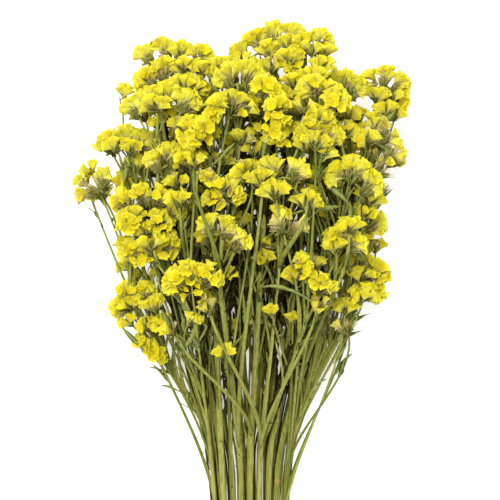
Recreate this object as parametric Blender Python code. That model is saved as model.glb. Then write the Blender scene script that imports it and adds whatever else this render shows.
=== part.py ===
# A cut bunch of dried statice, lying on a flat surface with its front side up.
# +Y runs from the cut ends to the heads, +X is to the right of someone looking down on it, +Z is up.
# Lengths are in millimetres up to the point where a mesh is made, which turns them into metres.

import math
import random

import bmesh
import bpy
import numpy as np

METRE = 1000.0
SEED = 41

# Where the bunch lies: its middle over the origin
MIDDLE_X = -7.7
MIDDLE_Y = 291.4

# Stems: a flattened section with two wings, which turns slowly along the stem
FOOT_COLUMNS = 9
FOOT_PITCH = 5.0
FOOT_RADIUS = 2.3
STEM_WING = 2.6
STEM_THICKNESS = 1.3
STEM_TIP_SHARE = 0.62
STEM_TURNS = 0.3
STEM_GAP = 6.3
STEM_TO_HEAD = 4.2
CUT_LENGTH_SPREAD = 14.0
NECK_Y = 187.0
NECK_SPREAD = 1.75
ROUTE_STEP = 12.0
STRAIGHT_WITHIN = 0.45
LONGEST_RUN = 7

# Combs: a bent ridge with florets on its upper side and green bracts under it
FLORET_PITCH = 9.6
CORE_RADIUS = 3.6
RIM_RADIUS = 12.2
BASE_ANGLES = np.radians([-75.0, -26.0, 26.0, 75.0])
RIM_ANGLES = np.radians([-84.0, -29.0, 29.0, 84.0])
RIM_SHARE = 0.85
RIM_JITTER = 0.28
END_SPREAD = 4.5
DIMPLE_DEPTH = 5.0
COMB_FAN = 0.55
SEAT_GAP = 0.5
BRACT_HALF_WIDTH = 3.0
BRACT_DEPTH = 9.5
BRACT_ZIGZAG = 2.2

# Forks, branches and leaves
FORK_DROP = 56.0
FORK_LEAST_HEIGHT = 9.0
BRANCH_RADIUS = 1.4
LEAF_LENGTH = 32.0
LEAF_HALF_WIDTH = 3.4
LEAF_HALF_THICKNESS = 0.5
LEAF_STATIONS = (0.0, 0.45, 1.0)
LEAF_WIDTHS = (0.35, 1.0, 0.15)

# Clearances used while the sprays are settled against one another
LOW_SPRAYS = 30.0
REST_HEIGHT = 10.7
COMB_CLEAR = 12.9
BRACT_CLEAR = 4.2
BRANCH_CLEAR = 2.0
SETTLE_ROUNDS = 150
ROUTE_ROUNDS = 320

# One entry for each stem. comb is the line that its main comb follows, nod is how far the florets
# turn from the stem's way towards the viewer, and swing is how far they turn to the right, in degrees.
SPRAYS = [
    {"comb": [(-98, 551, 44), (-70, 557, 48), (-35, 547, 46)], "nod": 15, "swing": -10},
    {"comb": [(-18, 549, 52), (0, 560, 46), (22, 570, 40), (43, 568, 38)], "nod": 15, "swing": 0},
    {"comb": [(69, 557, 58), (56, 563, 61), (43, 553, 66), (38, 534, 70)], "nod": 35, "swing": 5},
    {"comb": [(104, 523, 38), (118, 535, 40), (134, 526, 40), (133, 504, 42)], "nod": 25, "swing": 20},
    {"comb": [(69, 513, 72), (86, 524, 76), (102, 513, 74)], "nod": 25, "swing": 5},
    {
        "comb": [(-110, 499, 78), (-89, 508, 84), (-67, 509, 86), (-49, 500, 86)],
        "nod": 18,
        "swing": -8,
        "drop": 70,
        "side": [(-71, 538, 74), (-83, 528, 70), (-94, 515, 68)],
        "side_nod": 35,
        "side_swing": -25,
    },
    {"comb": [(-28, 500, 112), (-38, 481, 116), (-52, 464, 116)], "nod": 62, "swing": 0},
    {"comb": [(-26, 520, 96), (-10, 528, 98), (6, 520, 96)], "nod": 22, "swing": 0},
    {"comb": [(8, 512, 112), (22, 511, 114), (27, 494, 118), (20, 470, 118)], "nod": 58, "swing": 5},
    {
        "comb": [(42, 503, 108), (58, 510, 112), (74, 498, 108)],
        "nod": 42,
        "swing": 5,
        "drop": 85,
        "side": [(42, 468, 116), (56, 474, 118), (72, 466, 116)],
        "side_nod": 35,
        "side_swing": 0,
    },
    {"comb": [(88, 480, 68), (106, 485, 70), (120, 476, 68), (129, 456, 64)], "nod": 22, "swing": 15},
    {
        "comb": [(-133, 470, 46), (-112, 478, 50), (-88, 472, 54)],
        "nod": 20,
        "swing": -15,
        "drop": 78,
        "side": [(-146, 433, 41), (-138, 447, 41), (-123, 454, 43)],
        "side_nod": 25,
        "side_swing": -30,
    },
    {"comb": [(-116, 413, 78), (-94, 422, 84), (-77, 415, 87), (-61, 404, 86)], "nod": 38, "swing": -5},
    {"comb": [(-44, 442, 106), (-29, 434, 110), (-12, 422, 110)], "nod": 55, "swing": -10},
    {"comb": [(-84, 452, 82), (-66, 460, 86), (-48, 452, 88)], "nod": 30, "swing": 0},
    {"comb": [(-38, 400, 116), (-20, 401, 118), (0, 384, 118)], "nod": 28, "swing": 15},
    {
        "comb": [(66, 436, 108), (78, 448, 110), (92, 442, 108), (104, 430, 104)],
        "nod": 40,
        "swing": 10,
        "drop": 86,
        "side": [(90, 405, 66), (102, 411, 64), (113, 396, 60)],
        "side_nod": 30,
        "side_swing": 20,
    },
    {
        "comb": [(8, 436, 112), (26, 441, 116), (44, 436, 114)],
        "nod": 30,
        "swing": 0,
        "drop": 92,
        "side": [(16, 392, 110), (28, 396, 112), (40, 388, 110)],
        "side_nod": 35,
        "side_swing": 0,
    },
    {
        "comb": [(-66, 350, 102), (-50, 364, 106), (-28, 358, 106)],
        "nod": 42,
        "swing": -5,
        "side": [(-108, 379, 64), (-88, 386, 68), (-65, 388, 70)],
        "side_nod": 40,
        "side_swing": -15,
    },
    {
        "comb": [(-118, 321, 42), (-109, 335, 48), (-88, 342, 52)],
        "nod": 32,
        "swing": -25,
        "drop": 84,
        "side": [(-99, 301, 36), (-89, 294, 38), (-79, 286, 40)],
        "side_nod": 40,
        "side_swing": -30,
    },
    {"comb": [(78, 361, 52), (95, 367, 52), (109, 356, 50), (111, 334, 50)], "nod": 38, "swing": 15},
    {
        "comb": [(42, 378, 96), (52, 362, 100), (70, 354, 98)],
        "nod": 48,
        "swing": 0,
        "side": [(69, 396, 84), (83, 398, 82), (97, 388, 78)],
        "side_nod": 30,
        "side_swing": 10,
    },
    {"comb": [(-118, 442, 18), (-96, 456, 20), (-66, 454, 20)], "nod": -8, "swing": -20},
    {"comb": [(-50, 502, 20), (-22, 513, 24), (8, 506, 22)], "nod": -4, "swing": -6},
    {"comb": [(56, 446, 20), (82, 455, 22), (108, 442, 20)], "nod": -8, "swing": 14},
    {"comb": [(4, 384, 20), (28, 393, 24), (52, 386, 20)], "nod": -6, "swing": 4},
]


def unit(vectors):
    return vectors / np.linalg.norm(vectors, axis=-1, keepdims=True)


def facing(nod, swing):
    """The way a comb's florets point: +Y, turned up by nod and to the right by swing."""
    nod, swing = math.radians(nod), math.radians(swing)
    return np.array([math.sin(swing) * math.cos(nod), math.cos(swing) * math.cos(nod), math.sin(nod)])


def smooth_path(points, pitch):
    """A Catmull-Rom curve through the points, cut into equal steps of about one pitch."""
    points = np.array(points, float)
    ends = np.vstack([2 * points[0] - points[1], points, 2 * points[-1] - points[-2]])
    share = np.linspace(0, 1, 16, endpoint=False)[:, None]
    dense = [
        0.5
        * (
            2 * b
            + (c - a) * share
            + (2 * a - 5 * b + 4 * c - d) * share**2
            + (3 * b - a - 3 * c + d) * share**3
        )
        for a, b, c, d in zip(ends, ends[1:], ends[2:], ends[3:])
    ]
    dense = np.vstack([*dense, points[-1:]])
    run = np.concatenate([[0], np.cumsum(np.linalg.norm(np.diff(dense, axis=0), axis=1))])
    steps = np.linspace(0, run[-1], max(3, round(run[-1] / pitch)) + 1)
    return np.stack([np.interp(steps, run, dense[:, i]) for i in range(3)], axis=1)


def comb_frame(points, nod, swing):
    """Stations along a comb: where it runs, its own direction, the way its florets point and the way across."""
    line = smooth_path(points, FLORET_PITCH)
    along = unit(np.gradient(line, axis=0))
    out = line - line.mean(0)
    lean = facing(nod, swing) + COMB_FAN * out / np.linalg.norm(out, axis=1).max()
    lean -= (lean * along).sum(1, keepdims=True) * along
    up = unit(lean)
    return {"line": line, "along": along, "up": up, "side": np.cross(along, up)}


def bract_tips(comb, fork):
    """Lower edge of the green bracts, which narrow towards the fork with a zigzag edge."""
    inward = unit(-1.2 * comb["up"] + 0.8 * unit(fork - comb["line"]))
    zigzag = np.where(np.arange(len(comb["line"])) % 2, BRACT_ZIGZAG, 0.0)
    return comb["line"] + inward * (BRACT_DEPTH - zigzag)[:, None]


def branch_curve(start, end, heading, steps):
    """Leaves the fork along heading and bends over to the comb."""
    bend = start + heading * 0.5 * np.linalg.norm(end - start)
    t = np.linspace(0, 1, steps + 1)[:, None]
    return (1 - t) ** 2 * start + 2 * t * (1 - t) * bend + t**2 * end


def branch_ends(comb, fork, shares):
    """Points inside the bracts where branches end, at these shares of the comb's length."""
    tips = bract_tips(comb, fork)
    stations = [round(share * (len(tips) - 1)) for share in shares]
    return [0.5 * (comb["line"][i] + tips[i]) for i in stations]


def make_plans():
    """Each spray's combs, fork and branches, still where the table puts them."""
    order = sorted(range(len(SPRAYS)), key=lambda i: np.mean([p[2] for p in SPRAYS[i]["comb"]]))
    plans = []
    for number, spray in enumerate(SPRAYS):
        row = order.index(number) // FOOT_COLUMNS
        mates = order[row * FOOT_COLUMNS : (row + 1) * FOOT_COLUMNS]
        column = sorted(mates, key=lambda i: np.mean([p[0] for p in SPRAYS[i]["comb"]])).index(number)
        foot = np.array([(column - (FOOT_COLUMNS - 1) / 2) * FOOT_PITCH, 0, FOOT_RADIUS + row * FOOT_PITCH])
        comb = comb_frame(spray["comb"], spray["nod"], spray["swing"])
        middle = comb["line"].mean(0)
        neck = np.array([foot[0] * NECK_SPREAD, NECK_Y, foot[2] * NECK_SPREAD])
        heading = unit(middle - neck)
        fork = middle - spray.get("drop", FORK_DROP) * unit(0.45 * facing(spray["nod"], spray["swing"]) + 0.55 * heading)
        fork[2] = max(fork[2], FORK_LEAST_HEIGHT)
        plan = {"foot": foot, "neck": neck, "heading": heading, "fork": fork, "combs": [comb]}
        if "side" in spray:
            plan["combs"].append(comb_frame(spray["side"], spray["side_nod"], spray["side_swing"]))
        plans.append(plan)
    return plans


def branches_of(plan, which):
    """The branches to one comb. The main comb's first one carries the stem on to the comb's middle."""
    start = plan["fork"]
    ends = branch_ends(plan["combs"][which], start, ((0.5, 0.14, 0.86), (0.5,))[which])
    made = [branch_curve(start, ends[0], plan["heading"], 3)]
    for number, end in enumerate(ends[1:]):
        made.append(branch_curve(start + (5 * number - 9) * plan["heading"], end, plan["heading"], 2))
    return made


def comb_balls(plan, which):
    """Balls (x, y, z, radius) round one comb and the bracts under it."""
    comb = plan["combs"][which]
    balls = [(*p, COMB_CLEAR) for p in comb["line"] + 1.5 * comb["up"]]
    return balls + [(*p, BRACT_CLEAR) for p in bract_tips(comb, plan["fork"]) + 2 * comb["up"]]


def branch_balls(plan, which):
    balls = []
    for line in branches_of(plan, which):
        balls += [(*p, BRANCH_CLEAR) for p in np.vstack([line, (line[1:] + line[:-1]) / 2])]
    return balls


def clearance_balls(plan):
    """Balls round everything in a spray's head."""
    found = []
    for which in range(len(plan["combs"])):
        found += comb_balls(plan, which) + branch_balls(plan, which)
    return np.array(found)


def deepest(first, second, spare):
    """How far the two sets of balls run into each other at worst, and the way the first should move."""
    gap = first[:, None, :3] - second[None, :, :3]
    far = np.linalg.norm(gap, axis=2) + 1e-6
    deep = first[:, None, 3] + second[None, :, 3] + spare - far
    a, b = np.unravel_index(deep.argmax(), deep.shape)
    return deep[a, b], gap[a, b] / far[a, b]


def clear_side_comb(plan):
    """Slides a spray's side comb away from its main comb and from the branches of both."""
    for _ in range(60):
        side, main = (np.array(comb_balls(plan, which)) for which in (1, 0))
        lines = [np.array(branch_balls(plan, which)) for which in (1, 0)]
        lines = [line[np.linalg.norm(line[:, :3] - plan["fork"], axis=1) > 9] for line in lines]
        depth = 0.0
        for mover, fixed in ((side, main), (side, lines[1]), (lines[0], main)):
            deep, way = deepest(mover, fixed, 0.8)
            if deep > 0:
                depth = max(depth, deep)
                plan["combs"][1]["line"] = plan["combs"][1]["line"] + 0.5 * deep * way
        if depth <= 0.05:
            break


def settle(plans):
    """Slides whole heads apart until their balls are clear, more readily up and down than sideways."""
    for plan in plans:
        if len(plan["combs"]) > 1:
            clear_side_comb(plan)
    balls = [clearance_balls(plan) for plan in plans]
    lowest = np.array([min(comb["line"][:, 2].min() for comb in plan["combs"]) for plan in plans])
    under = lowest < LOW_SPRAYS
    moves = np.zeros((len(plans), 3))
    ease = np.array([0.6, 0.6, 1.0])
    for _ in range(SETTLE_ROUNDS):
        push = np.zeros_like(moves)
        for i in range(len(plans)):
            for j in range(i + 1, len(plans)):
                first, second = balls[i].copy(), balls[j].copy()
                first[:, :3] += moves[i]
                second[:, :3] += moves[j]
                deep, way = deepest(first, second, 0.6)
                if deep > 0:
                    push[i] += 0.35 * deep * way * ease
                    push[j] -= 0.35 * deep * way * ease
        moves = 0.998 * (moves + push)
        moves[under, 2] -= 0.5
        moves[:, 2] = np.maximum(moves[:, 2], REST_HEIGHT + 2.0 * ~under - lowest)
    for plan, move in zip(plans, moves):
        plan["fork"] = plan["fork"] + move
        for comb in plan["combs"]:
            comb["line"] = comb["line"] + move


def few_points(line):
    """The points that a path needs to stay within STRAIGHT_WITHIN of its full course."""
    kept, first = [0], 0
    for last in range(2, len(line)):
        share = np.linspace(0, 1, last - first + 1)[:, None]
        chord = line[first] + share * (line[last] - line[first])
        strays = np.linalg.norm(chord - line[first : last + 1], axis=1).max() > STRAIGHT_WITHIN
        if strays or last - first > LONGEST_RUN:
            first = last - 1
            kept.append(first)
    return line[kept + [len(line) - 1]]


def route_stems(plans):
    """Leads every stem from its foot to its fork, bent clear of the other stems and of their heads."""
    count = len(plans)
    feet, necks, forks, ways = (np.array([p[k] for p in plans]) for k in ("foot", "neck", "fork", "heading"))
    levels = np.arange(0.0, forks[:, 1].max() + 3 * ROUTE_STEP, ROUTE_STEP)
    y = levels[None, :]
    lower = np.clip(y / NECK_Y, 0, 1)[..., None]
    upper = np.clip((y - NECK_Y) / (forks[:, 1:2] - NECK_Y), 0, None)[..., None]
    flat = [0, 2]
    line = feet[:, None, flat] + (necks - feet)[:, None, flat] * lower + (forks - necks)[:, None, flat] * upper
    beyond = y > forks[:, 1:2] - 0.5 * ROUTE_STEP
    run_on = forks[:, None, flat] + ways[:, None, flat] * ((y - forks[:, 1:2]) / ways[:, 1:2])[..., None]
    line = np.where(beyond[..., None], run_on, line)
    held = beyond.copy()
    held[:, :3] = True
    held[:, np.abs(levels - NECK_Y).argmin()] = True
    there = y < forks[:, 1:2] + 4
    balls = [clearance_balls(plan) for plan in plans]
    owner = np.concatenate([np.full(len(b), i) for i, b in enumerate(balls)])
    balls = np.vstack(balls)
    size = balls[:, 3] + STEM_TO_HEAD
    level, ball = np.nonzero(np.abs(levels[:, None] - balls[None, :, 1]) < size)
    reach = np.sqrt(size[ball] ** 2 - (levels[level] - balls[ball, 1]) ** 2)
    across = balls[ball][:, flat]
    other = owner[ball] != np.arange(count)[:, None]
    at_level = (level[:, None] == np.arange(len(levels))).astype(float)
    for _ in range(ROUTE_ROUNDS):
        smooth = line.copy()
        smooth[:, 1:-1] += 0.3 * (line[:, :-2] + line[:, 2:] - 2 * line[:, 1:-1])
        line = np.where(held[..., None], line, smooth)
        gap = line[:, None] - line[None, :]
        far = np.linalg.norm(gap, axis=3) + 1e-6
        both = there[:, None] & there[None, :] & ~np.eye(count, dtype=bool)[:, :, None]
        deep = np.where(both, np.clip(STEM_GAP - far, 0, None), 0)
        push = (gap / far[..., None] * deep[..., None]).sum(1) * 0.45
        gap = line[:, level] - across
        far = np.linalg.norm(gap, axis=2) + 1e-6
        deep = np.where(other, np.clip(reach - far, 0, None), 0)
        push += np.einsum("spc,pk->skc", gap / far[..., None] * deep[..., None], at_level) * 0.4
        line = np.where(held[..., None], line, line + np.clip(push, -3, 3))
        line[..., 1] = np.maximum(line[..., 1], FOOT_RADIUS + 0.3)
    for i, plan in enumerate(plans):
        line[i, :3] = feet[i, flat]
        below = levels < forks[i, 1] - 14
        stem = np.stack([line[i, below, 0], levels[below], line[i, below, 1]], axis=1)
        plan["stem"] = np.vstack([few_points(stem), branches_of(plan, 0)[0]])


def section_frames(line, first_side):
    """Two directions across a path, carried along it without twisting."""
    along = unit(np.gradient(line, axis=0))
    side = np.array(first_side, float)
    sides = []
    for way in along:
        side = unit(side - (side @ way) * way)
        sides.append(side)
    sides = np.array(sides)
    return sides, np.cross(sides, along)


def diamond_rings(line, wide, thin, turn=0.0, first_side=(1, 0, 0)):
    """Four-cornered sections along a path: half width wide, half thickness thin, turned by turn radians."""
    sides, ups = section_frames(line, first_side)
    turn = np.broadcast_to(turn, len(line))[:, None]
    a = sides * np.cos(turn) + ups * np.sin(turn)
    b = ups * np.cos(turn) - sides * np.sin(turn)
    wide = np.broadcast_to(wide, len(line))[:, None]
    thin = np.broadcast_to(thin, len(line))[:, None]
    return np.stack([line + a * wide, line + b * thin, line - a * wide, line - b * thin], axis=1)


def round_rings(line, radius):
    """Three-cornered sections along a path."""
    sides, ups = section_frames(line, (1, 0, 0))
    turn = np.radians([90.0, 210.0, 330.0])[:, None, None]
    return np.stack(list(line + radius[:, None] * (sides * np.cos(turn) + ups * np.sin(turn))), axis=1)


def loft(rings):
    """A closed bmesh through sections of any shape with the same number of corners."""
    mesh = bmesh.new()
    corners = [[mesh.verts.new(p / METRE) for p in ring] for ring in rings]
    for low, high in zip(corners, corners[1:]):
        for i in range(len(low)):
            j = (i + 1) % len(low)
            mesh.faces.new((low[i], low[j], high[j], high[i]))
    mesh.faces.new(corners[0][::-1])
    mesh.faces.new(corners[-1])
    bmesh.ops.recalc_face_normals(mesh, faces=mesh.faces)
    return mesh


def floret(mesh, face, rim, depth):
    """Turns one face of a comb's core into a funnel: its walls flare out to the rim and its middle dips."""
    base = sum((np.array(v.co) for v in face.verts), np.zeros(3)) / 4
    old = [np.array(v.co) for v in face.verts]
    bmesh.ops.inset_individual(mesh, faces=[face], thickness=0.0002)
    corners = list(face.verts)
    for vert, was in zip(corners, old):
        nearest = min(range(4), key=lambda i: np.linalg.norm(rim["base"][i] / METRE - was))
        vert.co = rim["top"][nearest] / METRE
    middle = rim["top"].mean(0) / METRE
    made = bmesh.ops.poke(mesh, faces=[face])["verts"][0]
    made.co = middle - (middle - base) / np.linalg.norm(middle - base) * depth / METRE


def comb_mesh(comb, draw):
    """The yellow part of a comb: a core with a flat underside, and funnels on its other faces."""
    line, along, up, side = (comb[k][:, None] for k in ("line", "along", "up", "side"))
    base = line + CORE_RADIUS * (np.cos(BASE_ANGLES)[:, None] * up + np.sin(BASE_ANGLES)[:, None] * side)
    spread = np.linspace(-END_SPREAD, END_SPREAD, len(line))[:, None, None]
    rim = line + RIM_RADIUS * (np.cos(RIM_ANGLES)[:, None] * up + np.sin(RIM_ANGLES)[:, None] * side)
    rim = rim + along * spread
    mesh = loft(base)
    targets = []
    for i in range(len(base) - 1):
        for j in range(3):
            cell = ((i, j), (i, j + 1), (i + 1, j + 1), (i + 1, j))
            targets.append((np.array([base[c] for c in cell]), np.array([rim[c] for c in cell])))
    for i, way in ((0, -1.0), (len(base) - 1, 1.0)):
        end = line[i] + way * along[i] * (RIM_RADIUS - 1.5) + up[i] * 1.5
        flare = end + 0.55 * RIM_RADIUS * (
            np.cos(BASE_ANGLES)[:, None] * up[i] + np.sin(BASE_ANGLES)[:, None] * side[i]
        )
        targets.append((base[i], flare))
    for under, over in targets:
        centre = under.mean(0) / METRE
        face = min(mesh.faces, key=lambda f: np.linalg.norm(np.array(f.calc_center_median()) - centre))
        middle = over.mean(0)
        outward = unit(middle - under.mean(0))
        over = middle + RIM_SHARE * (over - middle)
        over = over + np.array([[draw.uniform(-RIM_JITTER, RIM_JITTER) for _ in range(3)] for _ in over])
        over = over + outward * draw.uniform(-0.7, 0.7)
        floret(mesh, face, {"base": under, "top": over}, DIMPLE_DEPTH)
    return mesh


def bract_mesh(comb, fork):
    """The green part under a comb, three-cornered in section, its top face just clear of the core."""
    level = CORE_RADIUS * math.cos(BASE_ANGLES[3]) - SEAT_GAP
    top = comb["line"] + level * comb["up"]
    rings = np.stack(
        [
            top - BRACT_HALF_WIDTH * comb["side"],
            top + BRACT_HALF_WIDTH * comb["side"],
            bract_tips(comb, fork),
        ],
        axis=1,
    )
    return loft(rings)


def leaf_mesh(root, heading, across):
    """A lance-shaped leaf with a slight arch."""
    reach = np.array(LEAF_STATIONS)[:, None]
    lift = unit(np.cross(across, heading))
    line = root + LEAF_LENGTH * (heading * reach - 0.18 * lift * reach**2)
    width = LEAF_HALF_WIDTH * np.array(LEAF_WIDTHS)
    thin = LEAF_HALF_THICKNESS * np.array([1.6, 1.0, 0.6])
    return loft(diamond_rings(line, width, thin, first_side=across))


def leaf_places(plan, number, balls, owners, stems, draw):
    """Two leaves for each stem, each turned to the side where it is furthest from its neighbours."""
    made = []
    low, high = plan["stem"][-5], plan["fork"]
    heading = unit(high - low)
    across = unit(np.cross(heading, (0, 0, 1)))
    lift = np.cross(across, heading)
    for share in (0.12, 0.82):
        root = low + share * (high - low)
        best = None
        for turn in np.linspace(0, 2 * math.pi, 10, endpoint=False) + draw.uniform(0, 0.5):
            out = math.cos(turn) * across + math.sin(turn) * lift
            way = unit(0.86 * heading + 0.5 * out)
            probe = root + LEAF_LENGTH * np.array([0.4, 0.7, 1.0])[:, None] * way
            near = np.linalg.norm(probe[:, None] - balls[None, :, :3], axis=2) - balls[None, :, 3]
            near = near[:, (owners != number) | (balls[:, 3] > BRANCH_CLEAR)].min()
            other = np.vstack([s for k, s in enumerate(stems) if k != number])
            near = min(near, np.linalg.norm(probe[:, None] - other[None], axis=2).min() - 3, probe[:, 2].min())
            if best is None or near > best[0]:
                best = (near, way, unit(np.cross(way, out)))
        if best[0] > 1.5 + LEAF_HALF_WIDTH:
            made.append((root, best[1], best[2]))
    return made


def add_object(name, mesh, material, collection):
    data = bpy.data.meshes.new(name)
    mesh.to_mesh(data)
    mesh.free()
    made = bpy.data.objects.new(name, data)
    data.materials.append(material)
    collection.objects.link(made)
    return made


def make_material(name, colour, roughness):
    made = bpy.data.materials.new(name)
    made.use_nodes = True
    shader = made.node_tree.nodes["Principled BSDF"]
    shader.inputs["Base Color"].default_value = (*colour, 1.0)
    shader.inputs["Roughness"].default_value = roughness
    return made


def keep_outer_shell(body):
    """Keeps the largest shell, which fills the small voids that fused pieces shut in between them."""
    mesh = bmesh.new()
    mesh.from_mesh(body.data)
    left, shells = set(mesh.faces), []
    while left:
        shell, waiting = [], [left.pop()]
        while waiting:
            face = waiting.pop()
            shell.append(face)
            joined = [edge.link_faces for edge in face.edges if len(edge.link_faces) == 2]
            near = {other for pair in joined for other in pair} & left
            left -= near
            waiting += near
        shells.append(shell)
    shells.sort(key=len)
    bmesh.ops.delete(mesh, geom=[face for shell in shells[:-1] for face in shell], context="FACES")
    mesh.to_mesh(body.data)
    mesh.free()


def join_union(name, meshes, material, collection):
    """Fuses closed meshes that overlap into one body with a Boolean union."""
    body = add_object(name, meshes[0], material, collection)
    extras = bpy.data.collections.new(name + "_extras")
    bpy.context.scene.collection.children.link(extras)
    added = [add_object(f"{name}_extra", mesh, material, extras) for mesh in meshes[1:]]
    union = body.modifiers.new("join", "BOOLEAN")
    union.operation = "UNION"
    union.operand_type = "COLLECTION"
    union.collection = extras
    union.solver = "MANIFOLD"
    graph = bpy.context.evaluated_depsgraph_get()
    body.data = bpy.data.meshes.new_from_object(body.evaluated_get(graph))
    body.modifiers.clear()
    for extra in added:
        bpy.data.objects.remove(extra)
    bpy.data.collections.remove(extras)
    keep_outer_shell(body)
    return body


def green_parts(plan, number, balls, owners, stems, draw):
    """Every closed piece of one stem: the winged stem, its branches, its bracts and its leaves."""
    line = plan["stem"].copy()
    line[0] += draw.uniform(0, CUT_LENGTH_SPREAD) * unit(line[1] - line[0])
    rise = np.clip(line[:, 1] / NECK_Y, 0, 1)
    share = 1 - (1 - STEM_TIP_SHARE) * np.linspace(0, 1, len(line)) ** 1.5
    wide = (FOOT_RADIUS + (STEM_WING - FOOT_RADIUS) * rise) * share
    thin = (FOOT_RADIUS + (STEM_THICKNESS - FOOT_RADIUS) * rise) * share
    turn = 2 * math.pi * STEM_TURNS * draw.uniform(-1, 1) * np.clip((line[:, 1] - 24) / MIDDLE_Y, 0, None)
    parts = [loft(diamond_rings(line, wide, thin, turn))]
    branches = branches_of(plan, 0)[1:] + (branches_of(plan, 1) if len(plan["combs"]) > 1 else [])
    parts += [loft(round_rings(branch, BRANCH_RADIUS * np.linspace(1.1, 0.8, len(branch)))) for branch in branches]
    parts += [bract_mesh(comb, plan["fork"]) for comb in plan["combs"]]
    parts += [leaf_mesh(*place) for place in leaf_places(plan, number, balls, owners, stems, draw)]
    return parts


def press_flat(body):
    """Takes off what would reach below the surface, which leaves small flat spots to rest on."""
    mesh = bmesh.new()
    mesh.from_mesh(body.data)
    if min(v.co.z for v in mesh.verts) < 0:
        everything = mesh.verts[:] + mesh.edges[:] + mesh.faces[:]
        cut = bmesh.ops.bisect_plane(
            mesh, geom=everything, plane_co=(0, 0, 0), plane_no=(0, 0, 1), dist=1e-6, clear_inner=True
        )
        edges = [e for e in cut["geom_cut"] if isinstance(e, bmesh.types.BMEdge)]
        bmesh.ops.holes_fill(mesh, edges=edges)
        bmesh.ops.recalc_face_normals(mesh, faces=mesh.faces)
        mesh.to_mesh(body.data)
    mesh.free()


def main():
    for old in list(bpy.data.objects):
        bpy.data.objects.remove(old)
    bunch = bpy.data.collections.new("dried_statice")
    bpy.context.scene.collection.children.link(bunch)
    green = make_material("stem_green", (0.30, 0.34, 0.10), 0.75)
    yellow = make_material("papery_yellow", (0.90, 0.78, 0.06), 0.65)

    plans = make_plans()
    settle(plans)
    route_stems(plans)
    balls = [clearance_balls(plan) for plan in plans]
    owners = np.concatenate([np.full(len(b), i) for i, b in enumerate(balls)])
    balls = np.vstack(balls)
    stems = [plan["stem"] for plan in plans]

    bodies = []
    for number, plan in enumerate(plans):
        draw = random.Random(SEED + number)
        parts = green_parts(plan, number, balls, owners, stems, draw)
        bodies.append(join_union(f"stem_{number + 1:02d}", parts, green, bunch))
        for name, comb in zip(("bloom", "side_bloom"), plan["combs"]):
            bodies.append(add_object(f"{name}_{number + 1:02d}", comb_mesh(comb, draw), yellow, bunch))
    for body in bodies:
        press_flat(body)
        body.location = (-MIDDLE_X / METRE, -MIDDLE_Y / METRE, 0)


main()
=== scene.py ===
import bpy
import numpy as np
import random
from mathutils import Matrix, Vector


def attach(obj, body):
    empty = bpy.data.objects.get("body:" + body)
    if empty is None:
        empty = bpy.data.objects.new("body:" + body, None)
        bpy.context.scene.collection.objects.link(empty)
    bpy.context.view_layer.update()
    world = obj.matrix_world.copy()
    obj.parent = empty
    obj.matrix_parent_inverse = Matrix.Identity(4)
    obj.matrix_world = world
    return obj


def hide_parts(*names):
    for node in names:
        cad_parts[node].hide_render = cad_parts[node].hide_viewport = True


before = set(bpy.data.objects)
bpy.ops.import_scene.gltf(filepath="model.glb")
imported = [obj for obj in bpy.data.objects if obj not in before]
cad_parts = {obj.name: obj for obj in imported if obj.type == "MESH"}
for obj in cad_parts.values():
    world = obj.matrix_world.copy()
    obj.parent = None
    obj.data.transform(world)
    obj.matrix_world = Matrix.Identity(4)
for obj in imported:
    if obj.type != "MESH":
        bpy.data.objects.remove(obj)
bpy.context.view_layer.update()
print("frame loaded")

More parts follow.
